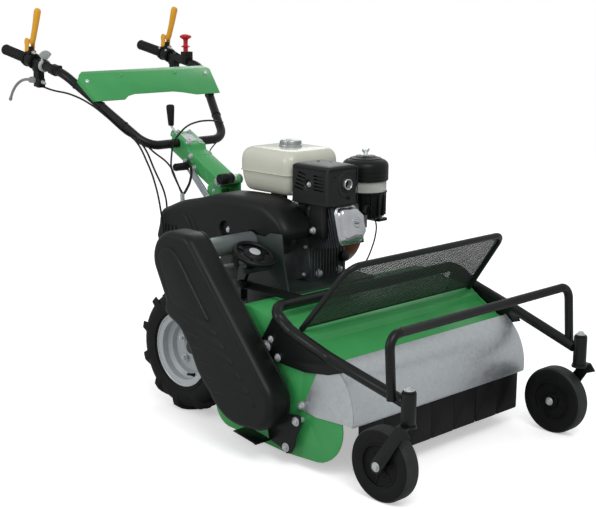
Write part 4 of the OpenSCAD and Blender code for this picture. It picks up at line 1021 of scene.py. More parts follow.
def stacked(name, lo, hi, corner, levels):
    """Rounded rectangles at (inset, z) levels; the corners tighten with the inset."""
    return lofted(name, [rounded_ring((lo[0] + inset, lo[1] + inset), (hi[0] - inset, hi[1] - inset),
                                      max(corner - inset * 0.5, 3), z) for inset, z in levels])


tank = stacked("fuel_tank_shells", (-113, -282), (111, -45), 34,
               [(48, 700), (30, 701), (20, 705), (13, 713), (8, 728), (4, 748), (2.5, 763), (2, 765.6),
                (-2.6, 766.2), (-3.2, 767.2), (-2.6, 768.2), (1, 768.8), (0.4, 772), (0, 790), (0.6, 804),
                (2.4, 815), (6, 824), (12, 831.5), (20, 836.5), (32, 839.4), (60, 840.8)])
neck = turned("neck", [(-3, 26), (-3, 40), (0.2, 38), (1.6, 36), (3, 35), (3, 26)], (-1, -170, 838.5),
              UP, 48)
settle(joined([tank, neck]), "fuel_tank_shells", tank_enamel, "chassis", 45, ["fuel_tank"])
CAP = (-1, -170, 841)
cap = turned("cap", [(0, ON_AXIS), (0, 34), (1, 36.4), (3.5, 36.8), (6, 36), (7, 33.5), (8, 32.5), (16, 31.6),
                     (19, 30.4), (20.5, 28), (21.2, 24), (20.4, 21), (20.2, 16), (22, 13), (22.4, ON_AXIS)],
             CAP, UP, 72)
ribs = copies(box("rib", (31, -171.3, 849.5), (33.6, -168.7, 858), 0.5, 1),
              [about(CAP, UP, 12 * i) for i in range(30)])
settle(joined([cap, ribs]), "fuel_cap_turned", bright_cap, "fuel_cap", 35, ["fuel_cap"])

# %% [markdown]
# The muffler sits in a box of black sheet steel with a crowned top. Rows of slots let the heat out:
# two groups of five on the side, short ones all along the upper edge, three holes on the top, and a
# pressed ring round the outlet at the front. The slots are cut through the sheet.

# %% Muffler shield
shield = stacked("muffler_shield_sheet", (-112, -442), (14, -288), 7,
                 [(0, 695), (0, 802), (0.8, 805), (3, 807.5), (9, 810.5), (20, 813), (36, 814.6),
                  (56, 815)])
open_up(shield, lambda centre, normal: normal.z < -0.9)
apply_modifier(shield, "SOLIDIFY", thickness=0.0014, offset=-1)
slots = []
for i in range(5):
    drop, front_drop = 12.2 * i, 10.4 * i
    back_slot = box("slot", (-118, -350 + 3 * i, 781.5 - drop), (-104, -316 + 4 * i, 786 - drop), 0)
    back_slot.data.transform(about((-112, -332, 784 - drop), LEFT, 11))
    front_end = -381 - 1.2 * (2 - abs(i - 2))
    front_slot = box("slot", (-118, -424, 778 - front_drop), (-104, front_end, 782.6 - front_drop), 0)
    front_slot.data.transform(about((-112, -402, 780 - front_drop), LEFT, 2))
    slots += [back_slot, front_slot]
for k in range(17):
    slots.append(box("slot", (-118, -432 + 8.2 * k, 797), (-104, -429.2 + 8.2 * k, 803.6), 0))
for k in range(14):
    slots.append(box("slot", (-104 + 8.2 * k, -448, 797), (-101.2 + 8.2 * k, -434, 803.6), 0))
cut(shield, joined(slots))
OUTLET = (-29, -442, 754)
holes = [pin(-12, 12, radius, centre, axis, 32)
         for centre, axis, radius in ((OUTLET, BACK, 20), ((-85, -442, 780), BACK, 2.4),
                                      ((5, -442, 781), BACK, 2.4), ((-40, -330, 812), UP, 5),
                                      ((-56, -346, 812), UP, 5), ((-32, -376, 812), UP, 5),
                                      ((-112, -359, 752), LEFT, 17))]
cut(shield, joined(holes))
dish = turned("dish", [(0, 17.2), (0.6, 18.6), (-0.6, 19.4), (-0.8, 16), (-5, 12), (-5.6, ON_AXIS),
                       (-4.2, ON_AXIS), (-3.8, 11.4), (0.2, 15.4)], (-112.4, -359, 752), RIGHT, 40)
ring = turned("ring", [(1.2, 20), (1.4, 24), (-0.4, 27), (0.8, 36), (1.4, 40), (-0.6, 43), (-1.2, 43),
                       (0.2, 36), (-1.4, 27), (0.2, 20)], OUTLET, FRONT, 56)
edge_fold = box("fold", (12.6, -444.6, 696), (15.2, -441.6, 803), 0.5, 1)
brace = box("fold", (-111, -440, 692.8), (13, -290, 696.4), 0.6, 1)
open_up(brace, lambda centre, normal: abs(normal.z) > 0.9)
settle(joined([shield, dish, ring, edge_fold, brace]), "muffler_shield_sheet", heat_enamel, "chassis", 32,
       ["muffler_shield"])
settle(hex_bolt("shield_screw", (-107, -359, 752), RIGHT, 10, 4), "shield_screw", steel, "chassis")
settle(hex_bolt("shield_front_screw", (-23, -442.6, 713), FRONT, 9, 4), "shield_front_screw",
       heat_enamel, "chassis")

# %% [markdown]
# Inside the box is the muffler, a drum with an outlet pipe whose rim is bare metal, and a cast elbow
# leads down to the exhaust port of the cylinder head.

# %% Muffler, outlet and elbow
drum = stacked("muffler_drum", (-102, -430), (4, -300), 18,
               [(20, 704), (8, 706), (2, 712), (0, 722), (0, 780), (2, 790), (8, 796), (20, 798)])
elbow = stacked("elbow", (-104, -418), (-54, -338), 16,
                [(14, 588), (8, 590), (5, 596), (4, 620), (7, 660), (9, 690), (9, 712)])
settle(joined([drum, elbow]), "muffler_drum", heat_enamel, "chassis", 40, ["muffler"])
outlet = turned("outlet", [(-10, 13.4), (5, 13.4), (6.2, 14.4), (6.2, 15.8), (5, 16.8), (-10, 16.8)],
                OUTLET, FRONT, 48)
settle(outlet, "outlet_rim", steel, "chassis")
settle(hex_bolt("elbow_bolt", (-101, -372, 612), RIGHT, 14, 8), "elbow_bolt", steel, "chassis")

# %% [markdown]
# The cylinder leans forward, so its parts are placed by a small function: x across, `along` the bore
# from the crankshaft, `rise` at right angles to it. Thin fins with rounded corners stand close together
# on the barrel and the head, as they are cast. The rocker cover is a pressed, plated bowl.

# %% Cylinder fins and head cover
LEAN = math.radians(14)


def on_bore(x, along, rise):
    """A place on the cylinder: across, along the bore from the crankshaft, and square to both."""
    return at(-20 + x, CRANK_Y - along * math.cos(LEAN) + rise * math.sin(LEAN),
              CRANK_Z + along * math.sin(LEAN) + rise * math.cos(LEAN))


def fin(along, half):
    """A thin square fin with rounded corners round the bore."""
    corner = 12
    ring = []
    for sx, sz, start in ((1, 1, 0), (-1, 1, 90), (-1, -1, 180), (1, -1, 270)):
        for i in range(4):
            turn = math.radians(start + 30 * i)
            ring.append((sx * (half - corner) + corner * math.cos(turn),
                         sz * (half - corner) + corner * math.sin(turn)))
    thick = on_bore(0, along + 2.4, 0) - on_bore(0, along, 0)
    return plate("fin", [on_bore(x, along, z) for x, z in ring], thick)


fins = joined([fin(124 + 9.4 * k, 62 if k < 8 else 60) for k in range(12)])
settle(fins, "cylinder_fins", dark_casting, "chassis", 30)
cover_line = smooth_loop([(-46, -58), (-6, -58), (32, -58), (46, -46), (58, -30), (58, 0), (58, 28), (44, 42),
                          (28, 57), (-6, 58), (-44, 58), (-55, 46), (-58, 20), (-58, -20), (-55, -50)], 3)
cover_steps = ((0.5, 236.4), (0, 237), (0, 239.5), (1, 240.6), (5.5, 240.8), (6.8, 242), (8.4, 248),
               (10.6, 254), (14, 258.6), (18.5, 261), (24, 262), (30, 262.4))
cover = lofted("head_cover_pressed", [
    [on_bore(x, along, z) for x, z in drawn_in(cover_line, ((0, 0), (0, 1)), inset)]
    for inset, along in cover_steps])
axis_out = (0, -math.cos(LEAN), math.sin(LEAN))
middle = (on_bore(8, 262, 6) - zero) * 1000
button = turned("button", [(-1, 20), (0.4, 18.6), (1.4, 16.6), (1.2, 14.6), (-1.4, 13), (-1.6, ON_AXIS),
                           (-4, ON_AXIS), (-4, 20)], tuple(middle), axis_out, 48)
settle(joined([cover, button]), "head_cover_pressed", chrome, "chassis", 50, ["head_cover"])
settle(hex_bolt("head_cover_nut", tuple(middle + Vector(axis_out) * -1.6), axis_out, 14, 7), "head_cover_nut",
       chrome, "chassis")

# %% [markdown]
# The air filter stands on its own elbow: a ribbed black base, a pale band of filter paper under a
# stepped lid, and a wing nut on a stud. A thin black lead comes down from the spark plug.

# %% Air filter
FILTER_X, FILTER_Y = 160, -343
lid = turned("lid", [(0, ON_AXIS), (0, 71), (1.5, 72.8), (4, 73), (14, 73), (15, 72), (16, 72), (17, 73),
                     (27, 73), (28, 72), (29, 72), (30, 73), (45, 73), (52, 72), (58, 68.5), (63, 62),
                     (66.5, 54), (68, 50), (70, 48.5), (74, 34), (76.5, 30), (77.4, 24), (77.6, ON_AXIS)],
             (FILTER_X, FILTER_Y, 738.2), UP, 80)
settle(lid, "air_filter_lid_turned", hard_plastic, "chassis", 35, ["air_filter_lid"])
band = turned("band", [(0, 62), (0, 66.4), (33, 66.4), (33, 62)], (FILTER_X, FILTER_Y, 705.1), UP, 80)
pleats = copies(box("pleat", (225.6, -343.9, 706), (227.2, -342.1, 737.2), 0.5, 1),
                [about((FILTER_X, FILTER_Y, 705), UP, 5 * i) for i in range(72)])
settle(joined([band, pleats]), "air_filter_paper", filter_paper, "chassis", 35, ["air_filter_band"])
base = turned("base", [(0, ON_AXIS), (0, 46), (4, 56), (12, 60), (70, 63), (82, 66), (84, 70), (88, 70),
                       (88, ON_AXIS)], (FILTER_X, FILTER_Y, 617), UP, 72)
ribs = copies(box("rib", (219, -345, 628), (227.5, -341, 701), 0.8, 1),
              [about((FILTER_X, FILTER_Y, 617), UP, 24 * i) for i in range(15)])
elbow = stacked("elbow", (58, -372), (122, -318), 14,
                [(6, 622), (1, 626), (0, 634), (0, 668), (2, 680), (8, 684)])
foot = box("foot", (196, -372, 601), (238, -318, 612), 3)
stay = box("stay", (222, -352, 606), (232, -336, 690), 2)
settle(joined([base, ribs, elbow, foot, stay]), "air_filter_base", hard_plastic, "chassis", 35,
       ["air_filter_body"])
stud = turned("stud", [(0, ON_AXIS), (0, 16), (1.2, 16.5), (2.4, 15), (3, 7), (9, 6), (12, 4), (18, 3),
                       (19, ON_AXIS)], (FILTER_X, FILTER_Y, 815.4), UP, 32)
wing_nut = [stud]
for side in (-1, 1):
    wing_nut.append(plate("wing", [at(FILTER_X + side * a, -344.2, z) for a, z in (
        (3, 822), (9, 823), (16, 829), (17.5, 834), (15, 837), (11, 835), (4, 828))], (0, 0.0024, 0)))
    apply_modifier(wing_nut[-1], "BEVEL", width=0.0006, segments=2)
settle(joined(wing_nut), "wing_nut", steel, "chassis")
lead = tube("lead", [at(92, -402, 664), at(108, -402, 668), at(125, -400, 654), at(143, -400, 624),
                     at(153, -400, 599), at(150, -400, 569), at(133, -400, 528), at(107, -400, 490),
                     at(84, -392, 462)], 2.4, 3)
boot = tube("boot", [at(70, -420, 650), at(84, -410, 660), at(96, -403, 667)], 6.5, 3)
settle(joined([lead, boot]), "spark_plug_lead", cable_rubber, "chassis", 40)

# %% [markdown]
# The controls come next. Levers follow a bent line and change their width on the way. They are swept:
# an oval is moved along its stations and takes the size of each.

# %% Helper for swept pieces
def swept(name, stations, sides=14):
    """Ovals along a line; a station is (centre in mm, half width across, half height)."""
    centres = [at(*centre) for centre, _, _ in stations]
    rings = []
    for i, (centre, (_, a, b)) in enumerate(zip(centres, stations)):
        along = (centres[min(i + 1, len(centres) - 1)] - centres[max(i - 1, 0)]).normalized()
        side = Vector(LEFT) if abs(along.x) < 0.9 else Vector(BACK)
        side = (side - side.dot(along) * along).normalized()
        over = along.cross(side)
        turns = [2 * math.pi * k / sides for k in range(sides)]
        rings.append([centre + (a * math.cos(t) * side + b * math.sin(t) * over) / 1000 for t in turns])
    return lofted(name, rings)

# %% [markdown]
# The grips are ribbed rubber sleeves with a flange, pushed over the ends of the handlebar. Their whole
# profile, ribs and all, is spun round the direction of the bar. The strut has a smaller, plain handle.

# %% Grips
# The handlebar's arms: their direction, how far out they are, and the strut's upper pin in (y, z).
BAR = Vector((0, 0.9829, 0.1843))
ARM_X = 302
STRUT_TOP = (272, 736)
for side, word in SIDES:
    end = Vector((side * ARM_X, 970, 1102))
    profile = [(0, 15.2), (0, 23), (1.5, 24), (4, 24), (5.5, 22.6), (6.5, 18.6), (9, 17.4)]
    for k in range(18):
        profile += [(10.5 + 6.4 * k, 17.3), (12 + 6.4 * k, 18.4), (14 + 6.4 * k, 18.4),
                    (15.4 + 6.4 * k, 17.3)]
    profile += [(127, 18.8), (131, 19), (134, 17.6), (136, 14), (136.6, ON_AXIS), (132, ON_AXIS), (131, 15.2)]
    grip = turned("grip", profile, tuple(end - 133 * BAR), BAR, 40)
    settle(grip, "grip_" + word, grip_rubber, "column", 50)
handle = turned("handle", [(0, 6), (0, 12), (2, 13.6), (44, 12.6), (50, 13.2), (54, 11.4), (56, 7),
                           (56.4, ON_AXIS), (50, ON_AXIS), (50, 6)], (-54, *STRUT_TOP), RIGHT, 32)
settle(handle, "strut_handle", grip_rubber, "column", 40, ["grips"])

# %% [markdown]
# The clutch levers are yellow sleeves on a clamp: two side plates turn on a boss, and a bridge between
# them carries the sleeve, which is swept along its slight bend.

# %% Clutch levers
for side, word in SIDES:
    x = side * ARM_X
    y, z = 818.7, 1107.5
    sleeve = swept("sleeve", [((x, y - 14, z + 22), 8, 6), ((x, y - 19, z + 30), 10, 10.6),
                              ((x, y - 25, z + 42), 9.8, 10.2), ((x, y - 34, z + 66), 10, 10.4),
                              ((x, y - 43, z + 92), 10.8, 11.2), ((x, y - 50, z + 116), 11.6, 12.2),
                              ((x, y - 55, z + 131), 12, 12.6), ((x, y - 58, z + 139), 10, 10.4),
                              ((x, y - 59, z + 141.6), 5.2, 5.4)], 18)
    cheeks = []
    for offset in (-15, 9.5):
        line = smooth_loop([(y - 9, z - 3), (y, z - 9.5), (y + 9, z - 3), (y + 7, z + 12), (y + 9, z + 26),
                            (y + 5, z + 38), (y - 6, z + 41), (y - 15, z + 34), (y - 12, z + 16)], 3)
        cheeks.append(side_plate("cheek", line, x + offset, x + offset + 5.5))
        apply_modifier(cheeks[-1], "BEVEL", width=0.0012, segments=2, limit_method="ANGLE")
    bridge = box("bridge", (x - 14, y - 15, z + 24), (x + 14, y + 4, z + 37), 3.5, 3)
    boss = turned("boss", [(-16.5, ON_AXIS), (-16.5, 5), (-15, 6), (15, 6), (16.5, 5), (16.5, ON_AXIS)],
                  (x, y, z), LEFT, 24)
    settle(joined([sleeve, bridge, boss] + cheeks), "clutch_lever_sleeve_" + word, yellow_plastic,
           "clutch_lever_" + word, 40, ["clutch_lever_" + word])

# %% [markdown]
# The brake lever is a curved bar of cast alloy with two plates at its root. The bar is swept along an
# arc, grows thinner towards its tip and ends in a small bulge.

# %% Brake lever
bend = [math.radians(104 - 7.6 * k) for k in range(11)]
stations = [((-ARM_X, 834.7 + 126 * math.cos(t), 878.5 + 126 * math.sin(t)), 6.5 - 0.15 * k, 5.2 - 0.12 * k)
            for k, t in enumerate(bend)]
tail = stations[-1][0]
stations += [((-ARM_X, tail[1] + 4, tail[2] - 8), 6.6, 6.4), ((-ARM_X, tail[1] + 6, tail[2] - 13), 5.4, 5.2),
             ((-ARM_X, tail[1] + 7, tail[2] - 16), 2, 2)]
blade = swept("blade", stations, 16)
root = [side_plate("root", smooth_loop([(766, 1001), (771, 1015), (786, 1018), (806, 1012), (808, 999),
                                        (790, 996), (774, 997)], 3), -ARM_X + a, -ARM_X + a + 3.7)
        for a in (-16, 12.3)]
core = box("core", (-317, 796, 1000), (-287, 807, 1012), 3, 3)
lever_pin = pin(-18, 18, 5, (-ARM_X, 774.7, 1006.5), LEFT)
settle(joined([blade, core, lever_pin] + root), "brake_lever_cast", lever_alloy, "brake_lever", 40,
       ["brake_lever"])

# %% [markdown]
# The stop knob is a red mushroom on a neck. Its whole profile is spun upright.

# %% Stop knob
KNOB = (294, 690)
knob = turned("knob", [(-10, ON_AXIS), (-10, 7), (-8.4, 8.8), (15.8, 8.8), (16.2, 15), (17, 16),
                       (19.5, 16), (20.5, 15), (22, 10), (25, 8.4), (40, 8.4), (45, 10), (49, 17),
                       (52, 21), (55, 22), (57.5, 21), (60.5, 17), (63, 10), (64, ON_AXIS)],
              (*KNOB, 1088), UP, 48)
settle(knob, "stop_knob_turned", red_plastic, "stop_knob", 35, ["stop_knob"])

# %% [markdown]
# The throttle is a flat paddle on a collar round the right arm of the bar. The paddle's edge bulges in
# the middle, where the thumb pushes.

# %% Throttle paddle
HOUSING = (812.7, 1072.5)
centre = Vector((-ARM_X, *HOUSING)) - 82 * BAR
collar = turned("collar", [(-7, 15.2), (-7, 21), (-6, 22), (4, 22), (5, 21), (5, 15.2)], tuple(centre),
                BAR, 40)
lift = Vector((0, -BAR.z, BAR.y))
edge = [(21, -26)] + [(53 - 0.006 * a * a, a) for a in (-34, -28, -20, -10, 0, 10, 20, 28, 34)] + [(21, 26)]
paddle = plate("paddle", [at(*(centre - 2 * BAR + r * math.sin(math.radians(a)) * Vector(LEFT)
                               + r * math.cos(math.radians(a)) * lift)) for r, a in edge], BAR * 0.0042)
apply_modifier(paddle, "BEVEL", width=0.0013, segments=3)
settle(joined([collar, paddle]), "throttle_paddle", grey_plastic, "throttle_lever", 40, ["throttle_lever"])

# %% [markdown]
# The column is folded from thick plate, carries the handlebar in its head and swings on a tube at its
# foot. It is drawn as its side view, pushed across, with thin raised lines for the creases of its
# folds. The bar runs straight through its head, where it is clamped, so no hole is drawn.

# %% Folded column
SLOPE = math.radians(27.4)
PIN_Y, PIN_Z = 122, 700


def on_column(x, along, over):
    """A place on the column in mm: across, along it from its pin, and above its middle."""
    return (x, PIN_Y + along * math.cos(SLOPE) - over * math.sin(SLOPE),
            PIN_Z + along * math.sin(SLOPE) + over * math.cos(SLOPE))


over_column = (0, -math.sin(SLOPE), math.cos(SLOPE))
column_line = [on_column(0, along, over)[1:] for along, over in (
    (14, -45), (276, -45), (276, 17), (192, 17), (180, 3), (14, 3))]
folded = side_plate("column_folded", column_line, -40, 40)
apply_modifier(folded, "BEVEL", width=0.0026, segments=3, limit_method="ANGLE",
               angle_limit=math.radians(20))
pin_tube = turned("pin_tube", [(-39.6, 8.3), (-39.6, 15), (39.6, 15), (39.6, 8.3)], (0, PIN_Y, PIN_Z),
                  LEFT, 48)
column_parts = [folded, pin_tube]
for x in (-26, -2):
    ear = side_plate("ear", [on_column(0, along, over)[1:] for along, over in (
        (270, -14), (298, -14), (302, -10), (302, 6), (298, 10), (270, 10))], x, x + 4)
    apply_modifier(ear, "BEVEL", width=0.001, segments=2, limit_method="ANGLE")
    column_parts.append(ear)
for route in (((-40.2, 182, 1), (-40.2, 150, -20), (-40.2, 96, -43)),
              ((-40.2, 96, 1), (-40.2, 60, -24), (-40.2, 30, -43)),
              ((-38, 150, 3.2), (38, 150, 3.2))):
    column_parts.append(tube("crease", [at(*on_column(*point)) for point in route], 0.9, 2))
settle(joined(column_parts), "column_folded", green_enamel, "column", 30, ["column"])
strut_pin = pin(-26, 0, 6, (-40, *STRUT_TOP), LEFT)
settle(strut_pin, "strut_pin", steel, "column")

# %% [markdown]
# Plated bolts hold the folds, the bar's clamp and the locking strut. A rubber buffer sits at the foot,
# where the column leans on the tower, and a blank plate is riveted to the head.

# %% Bolts, buffer and plate
settle(box("tower_web", (-40, 171, 600), (40, 175, 664), 1), "tower_web", green_enamel, "chassis")
column_bolts = [hex_bolt("column_bolt", (-40.2, y, z), RIGHT, 13, 6)
                for y, z in ((267, 769), (251, 731), (274, 817), (146, 666))]
column_bolts += [hex_bolt("column_bolt", on_column(x, along, 17.2), over_column, 12, 5)
                 for x, along in ((-31, 203), (24, 205), (-31, 268), (24, 268))]
column_bolts.append(hex_bolt("column_bolt", (40.2, 267, 769), LEFT, 13, 6))
settle(joined(column_bolts), "column_bolts", steel, "column")
buffer = turned("buffer", [(-28, ON_AXIS), (-28, 15), (-26, 17), (-20, 17.6), (-18, 16), (-14, 16),
                           (-12, 17.6), (14, 17.6), (16, 16), (18, 16), (20, 17.6), (26, 17), (28, 15),
                           (28, ON_AXIS)], (-42, 91, 712), LEFT, 32)
settle(buffer, "column_buffer", grip_rubber, "column", 40)
settle(hex_bolt("buffer_bolt", (-14, 91, 712), LEFT, 19, 12), "buffer_bolt", steel, "column")
label_plate = plate("label_plate", [at(*on_column(x, along, 17.1)) for x, along in (
    (-24, 214), (18, 214), (18, 258), (-24, 258))], Vector(over_column) * 0.001)
apply_modifier(label_plate, "BEVEL", width=0.0003, segments=1)
settle(label_plate, "blank_plate", rim_enamel, "column")

# %% [markdown]
# The gear lever rises behind the column's head: a bent rod that turns on a pin, with a moulded grip
# that grows wider towards its end.

# %% Gear lever
rod = tube("rod", [at(-12, 380, 832), at(-12, 392, 845), at(-12, 406, 860), at(-12, 406.6, 874)], 4.2, 3)
gear_pin = turned("pin", [(-27.5, ON_AXIS), (-27.5, 4), (-22, 4), (-21.4, 8), (-2.6, 8), (-2, 4), (3.5, 4),
                          (3.5, ON_AXIS)], (0, 380, 832), LEFT, 24)
knob = turned("knob", [(0, 3), (0, 8.5), (1.6, 9.8), (24, 11.4), (52, 13.6), (64, 14.2), (69, 13), (72, 9),
                       (73, ON_AXIS), (66, ON_AXIS), (66, 3)], (-12, 406, 858), (0, 4, 70), 32)
settle(joined([rod, gear_pin]), "gear_lever_rod", steel, "gear_lever", 40)
settle(knob, "gear_lever_grip", grip_rubber, "gear_lever", 40, ["gear_lever"])

# %% [markdown]
# The lever housings are moulded clamps round the tube. Each has two bands with a screw, and an
# adjuster wherever a cable leaves.

# %% Clamps and adjusters
fittings, boots = [], []
for side in (-1, 1):
    x, y, z = side * ARM_X, *HOUSING
    here = Vector((x, y, z))
    for shift in (-20, 17):
        place = tuple(here + shift * BAR)
        boots.append(turned("band", [(-3, 23.5), (-3, 26.6), (3, 26.6), (3, 23.5)], place, BAR, 40))
        fittings.append(hex_bolt("screw", tuple(here + shift * BAR + Vector((-side * 20, -3, 19))),
                                 (-side, 0, 0.9), 8, 4, washer=False))
    boots.append(box("boss", (x - 15, y - 13, z + 16), (x + 15, y + 13, z + 33), 3))
    boots.append(box("boss", (x - 15.5, y - 63, z - 36), (x + 15.5, y - 27, z - 4), 4))
    boots.append(box("boss", (x - 14, y - 66, z - 92), (x + 14, y - 42, z - 60), 5))
    for dx, dy, dz in ((0, -15, 26), (0, -66, -72)):
        place = tuple(here + Vector((dx, dy, dz)))
        fittings.append(turned("adjuster", [(-2, ON_AXIS), (-2, 6.4), (4, 6.4), (5, 4.4), (14, 4.4),
                                            (15, 3), (20, 3), (20, ON_AXIS)], place, (0, -1, -0.25), 20))
fittings.append(pin(-12, 1, 6, (*KNOB, 1085), UP))
settle(joined(boots), "housing_clamps", hard_plastic, "column", 40)
settle(joined(fittings), "cable_adjusters", steel, "column", 40)

# %% [markdown]
# The dash panel is one sheet with its upper edge folded back and a flange on each side. It is drawn as
# flat plates that meet at the folds. Two plated screws and two painted rivets hold it.

# %% Dash panel and its screws
rise_up = Vector((0, 0.696, 0.718))
face_out = Vector((0, -0.718, 0.696))
DASH_FOOT = (481.8, 949.1)


def on_dash(x, height, out):
    """A place on the dash in metres: across, up along the sheet, and out towards the front."""
    return at(*(Vector((x, *DASH_FOOT)) + rise_up * height + face_out * out))


def crown(height):
    """How far the sheet bulges at a height: it rises to its fold and drops again above it."""
    return 6 * height / 112 if height <= 112 else 6 * (129.6 - height) / 17.6


sheets = []
for outline in (((-268, 0), (-150, 0), (-128, 14), (-100, 20), (70, 20), (110, 14), (170, 0), (278, 0),
                 (290, 106), (285, 112), (-286, 112), (-290, 107)),
                ((-286, 112), (285, 112), (266, 129.6), (-264, 129.6))):
    sheets.append(plate("sheet", [on_dash(x, h, crown(h)) for x, h in outline], face_out * 0.003))
for low_x, high_x, inward in ((-268, -290, 2.5), (278, 290, -2.5)):
    sheets.append(plate("flange", [on_dash(low_x, 1, 1), on_dash(high_x, 106, crown(106) + 1),
                                   on_dash(high_x, 100, -16), on_dash(low_x, 12, -16)],
                        Vector((inward, 0, 0)) / 1000))
for sheet_piece in sheets:
    apply_modifier(sheet_piece, "BEVEL", width=0.0007, segments=2, limit_method="ANGLE")
settle(joined(sheets), "dash_panel_folded", green_enamel, "column", 30, ["dash_panel"])
screws = []
for x, up_by in ((-266, 84), (262, 92), (-120, 100), (120, 100)):
    place = Vector((x, *DASH_FOOT)) + rise_up * up_by + face_out * (3.1 + crown(up_by))
    screws.append(turned("dash_screw", [(-1, ON_AXIS), (-1, 8), (0.6, 8), (1, 7), (3.2, 5), (4, 2),
                                        (4.1, ON_AXIS)], tuple(place), face_out, 24))
settle(joined(screws[:2]), "dash_screws", steel, "column")
settle(joined(screws[2:]), "dash_rivets", green_enamel, "column")

# %% [markdown]
# A moulded clamp holds the throttle's cable to the right arm of the bar.

# %% Throttle cable clamp
bracket = [box("bracket", (-319, 646, 1034), (-285, 690, 1052), 4),
           box("bracket", (-312, 640, 1048), (-290, 668, 1062), 4)]
bracket.append(turned("ring", [(-9, 15.2), (-9, 19.5), (9, 19.5), (9, 15.2)], (-ARM_X, 668, 1045.4), BAR, 32))
settle(joined(bracket), "throttle_cable_clamp", hard_plastic, "column", 40)

# %% [markdown]
# Bowden cables run from the levers along the handlebar and down to the tractor. They are held at both
# ends. Each is drawn as a round cord along its route, as the column stands now.

# %% Control cables
cable_routes = {
    "brake_cable": [(-300, 752, 985), (-296, 700, 976), (-290, 591, 966), (-275, 503, 938), (-250, 468, 907),
                    (-217, 402, 850), (-213, 350, 829), (-213, 285, 759), (-214, 243, 689), (-214, 214, 594),
                    (-214, 200, 510)],
    "clutch_cable_right": [(-302, 790, 1096), (-306, 740, 1082), (-314, 690, 1064), (-316, 640, 1048),
                           (-305, 590, 1012), (-273, 540, 968), (-238, 475, 915), (-205, 405, 858),
                           (-200, 319, 808), (-182, 291, 738), (-156, 263, 640), (-150, 266, 560)],
    "clutch_cable_left": [(-296, 788, 1094), (-300, 740, 1080), (-309, 690, 1066), (-311, 640, 1052),
                          (-298, 585, 1010), (-262, 530, 962), (-222, 455, 903), (-190, 390, 858),
                          (-160, 335, 796), (-140, 258, 745), (-140, 228, 705), (-140, 199, 660)],
    "loop_cable": [(300, 786, 1092), (303, 700, 1062), (304, 640, 1046), (288, 575, 1002), (255, 505, 948),
                   (221, 432, 893), (196, 380, 862), (175, 352, 860), (140, 345, 868), (80, 329, 875),
                   (30, 324, 873), (-20, 317, 861), (-50, 318, 839), (-75, 315, 815), (-100, 298, 774),
                   (-120, 275, 735), (-133, 239, 703), (-136, 213, 676), (-136, 199, 660)],
    "gear_cable": [(-61, 262, 756), (-62, 244, 734), (-90, 215, 695), (-118, 200, 672), (-132, 196, 660)],
    "stop_wire": [(297, 678, 1058), (309, 640, 1046), (293, 578, 1006), (262, 512, 955), (228, 441, 900),
                  (200, 392, 862), (180, 352, 812), (120, 330, 790), (70, 300, 760), (60, 230, 700),
                  (70, 150, 640)],
}


def flexible(name, route, radius, material, lower, upper):
    """A round cord along a route in mm; lower and upper, the bodies that it runs between, are only printed.
    """
    cord = painted(tube(name, [at(*point) for point in route], radius, 3), name, material, 50)
    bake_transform(cord)
    length = sum((at(*b) - at(*a)).length for a, b in zip(route, route[1:]))
    print("%s: %.2f m from point to point, between %s and %s" % (name, length, lower, upper))
    return cord


main_cables = [flexible(name, route, {"gear_cable": 4.4, "stop_wire": 2.2}.get(name, 3.1), cable_rubber,
                        "chassis", "column")
               for name, route in cable_routes.items()]
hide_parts("control_cables")

# %% [markdown]
# Cable ties of black nylon hold them to the bar. The two cables that end on the main cover go into a
# plated adjuster with a lock nut.

# %% Ties and adjuster
# Where each arm bends, and how far it then runs inwards, forwards and down to the column's head.
BEND_Y, BEND_Z = 618, 1036
run_in, run_on, run_down = 132, 280, 230
ties = []
for side, y in ((-1, 575), (-1, 492), (-1, 415), (1, 575), (1, 505), (1, 425)):
    down = Vector((side * run_in, run_on, run_down)).normalized()
    middle = Vector((side * (ARM_X - run_in * (BEND_Y - y) / run_on), y,
                     BEND_Z - run_down * (BEND_Y - y) / run_on))
    ties.append(turned("tie", [(-2.2, 15.3), (-2.2, 16.8), (2.2, 16.8), (2.2, 15.3)],
                       tuple(middle), down, 32))
    ties.append(box("head", (middle.x - 3, middle.y - 17, middle.z - 13),
                    (middle.x + 3, middle.y - 11, middle.z - 6), 1))
settle(joined(ties), "cable_ties", hard_plastic, "column", 40)
adjuster_profile = [(-30, ON_AXIS), (-30, 4), (-8, 4), (-7, 7.4), (0, 7.4), (1, 5), (22, 5), (24, 3.2),
                    (27, 3.2), (27, ON_AXIS)]
adjuster = [turned("adjuster", adjuster_profile, (x, 198, 636), (0, 0.1, 1), 20) for x in (-140, -134)]
settle(joined(adjuster), "cover_adjuster", steel, "chassis", 40)

# %% [markdown]
# The starter's rope is wound on a drum inside the shroud. Its end goes into the handle, and the stretch
# between the two is drawn as a straight cord.

# %% Starter rope
rope_ends = [(203, -142.5, 636.4), (203, -130.5, 657.2)]
flexible("starter_rope", rope_ends, 2.2, cable_rubber, "chassis", "recoil_handle")

# %% [markdown]
# The rims are pressed steel with a rolled lip, four wheel nuts and a rubber valve.

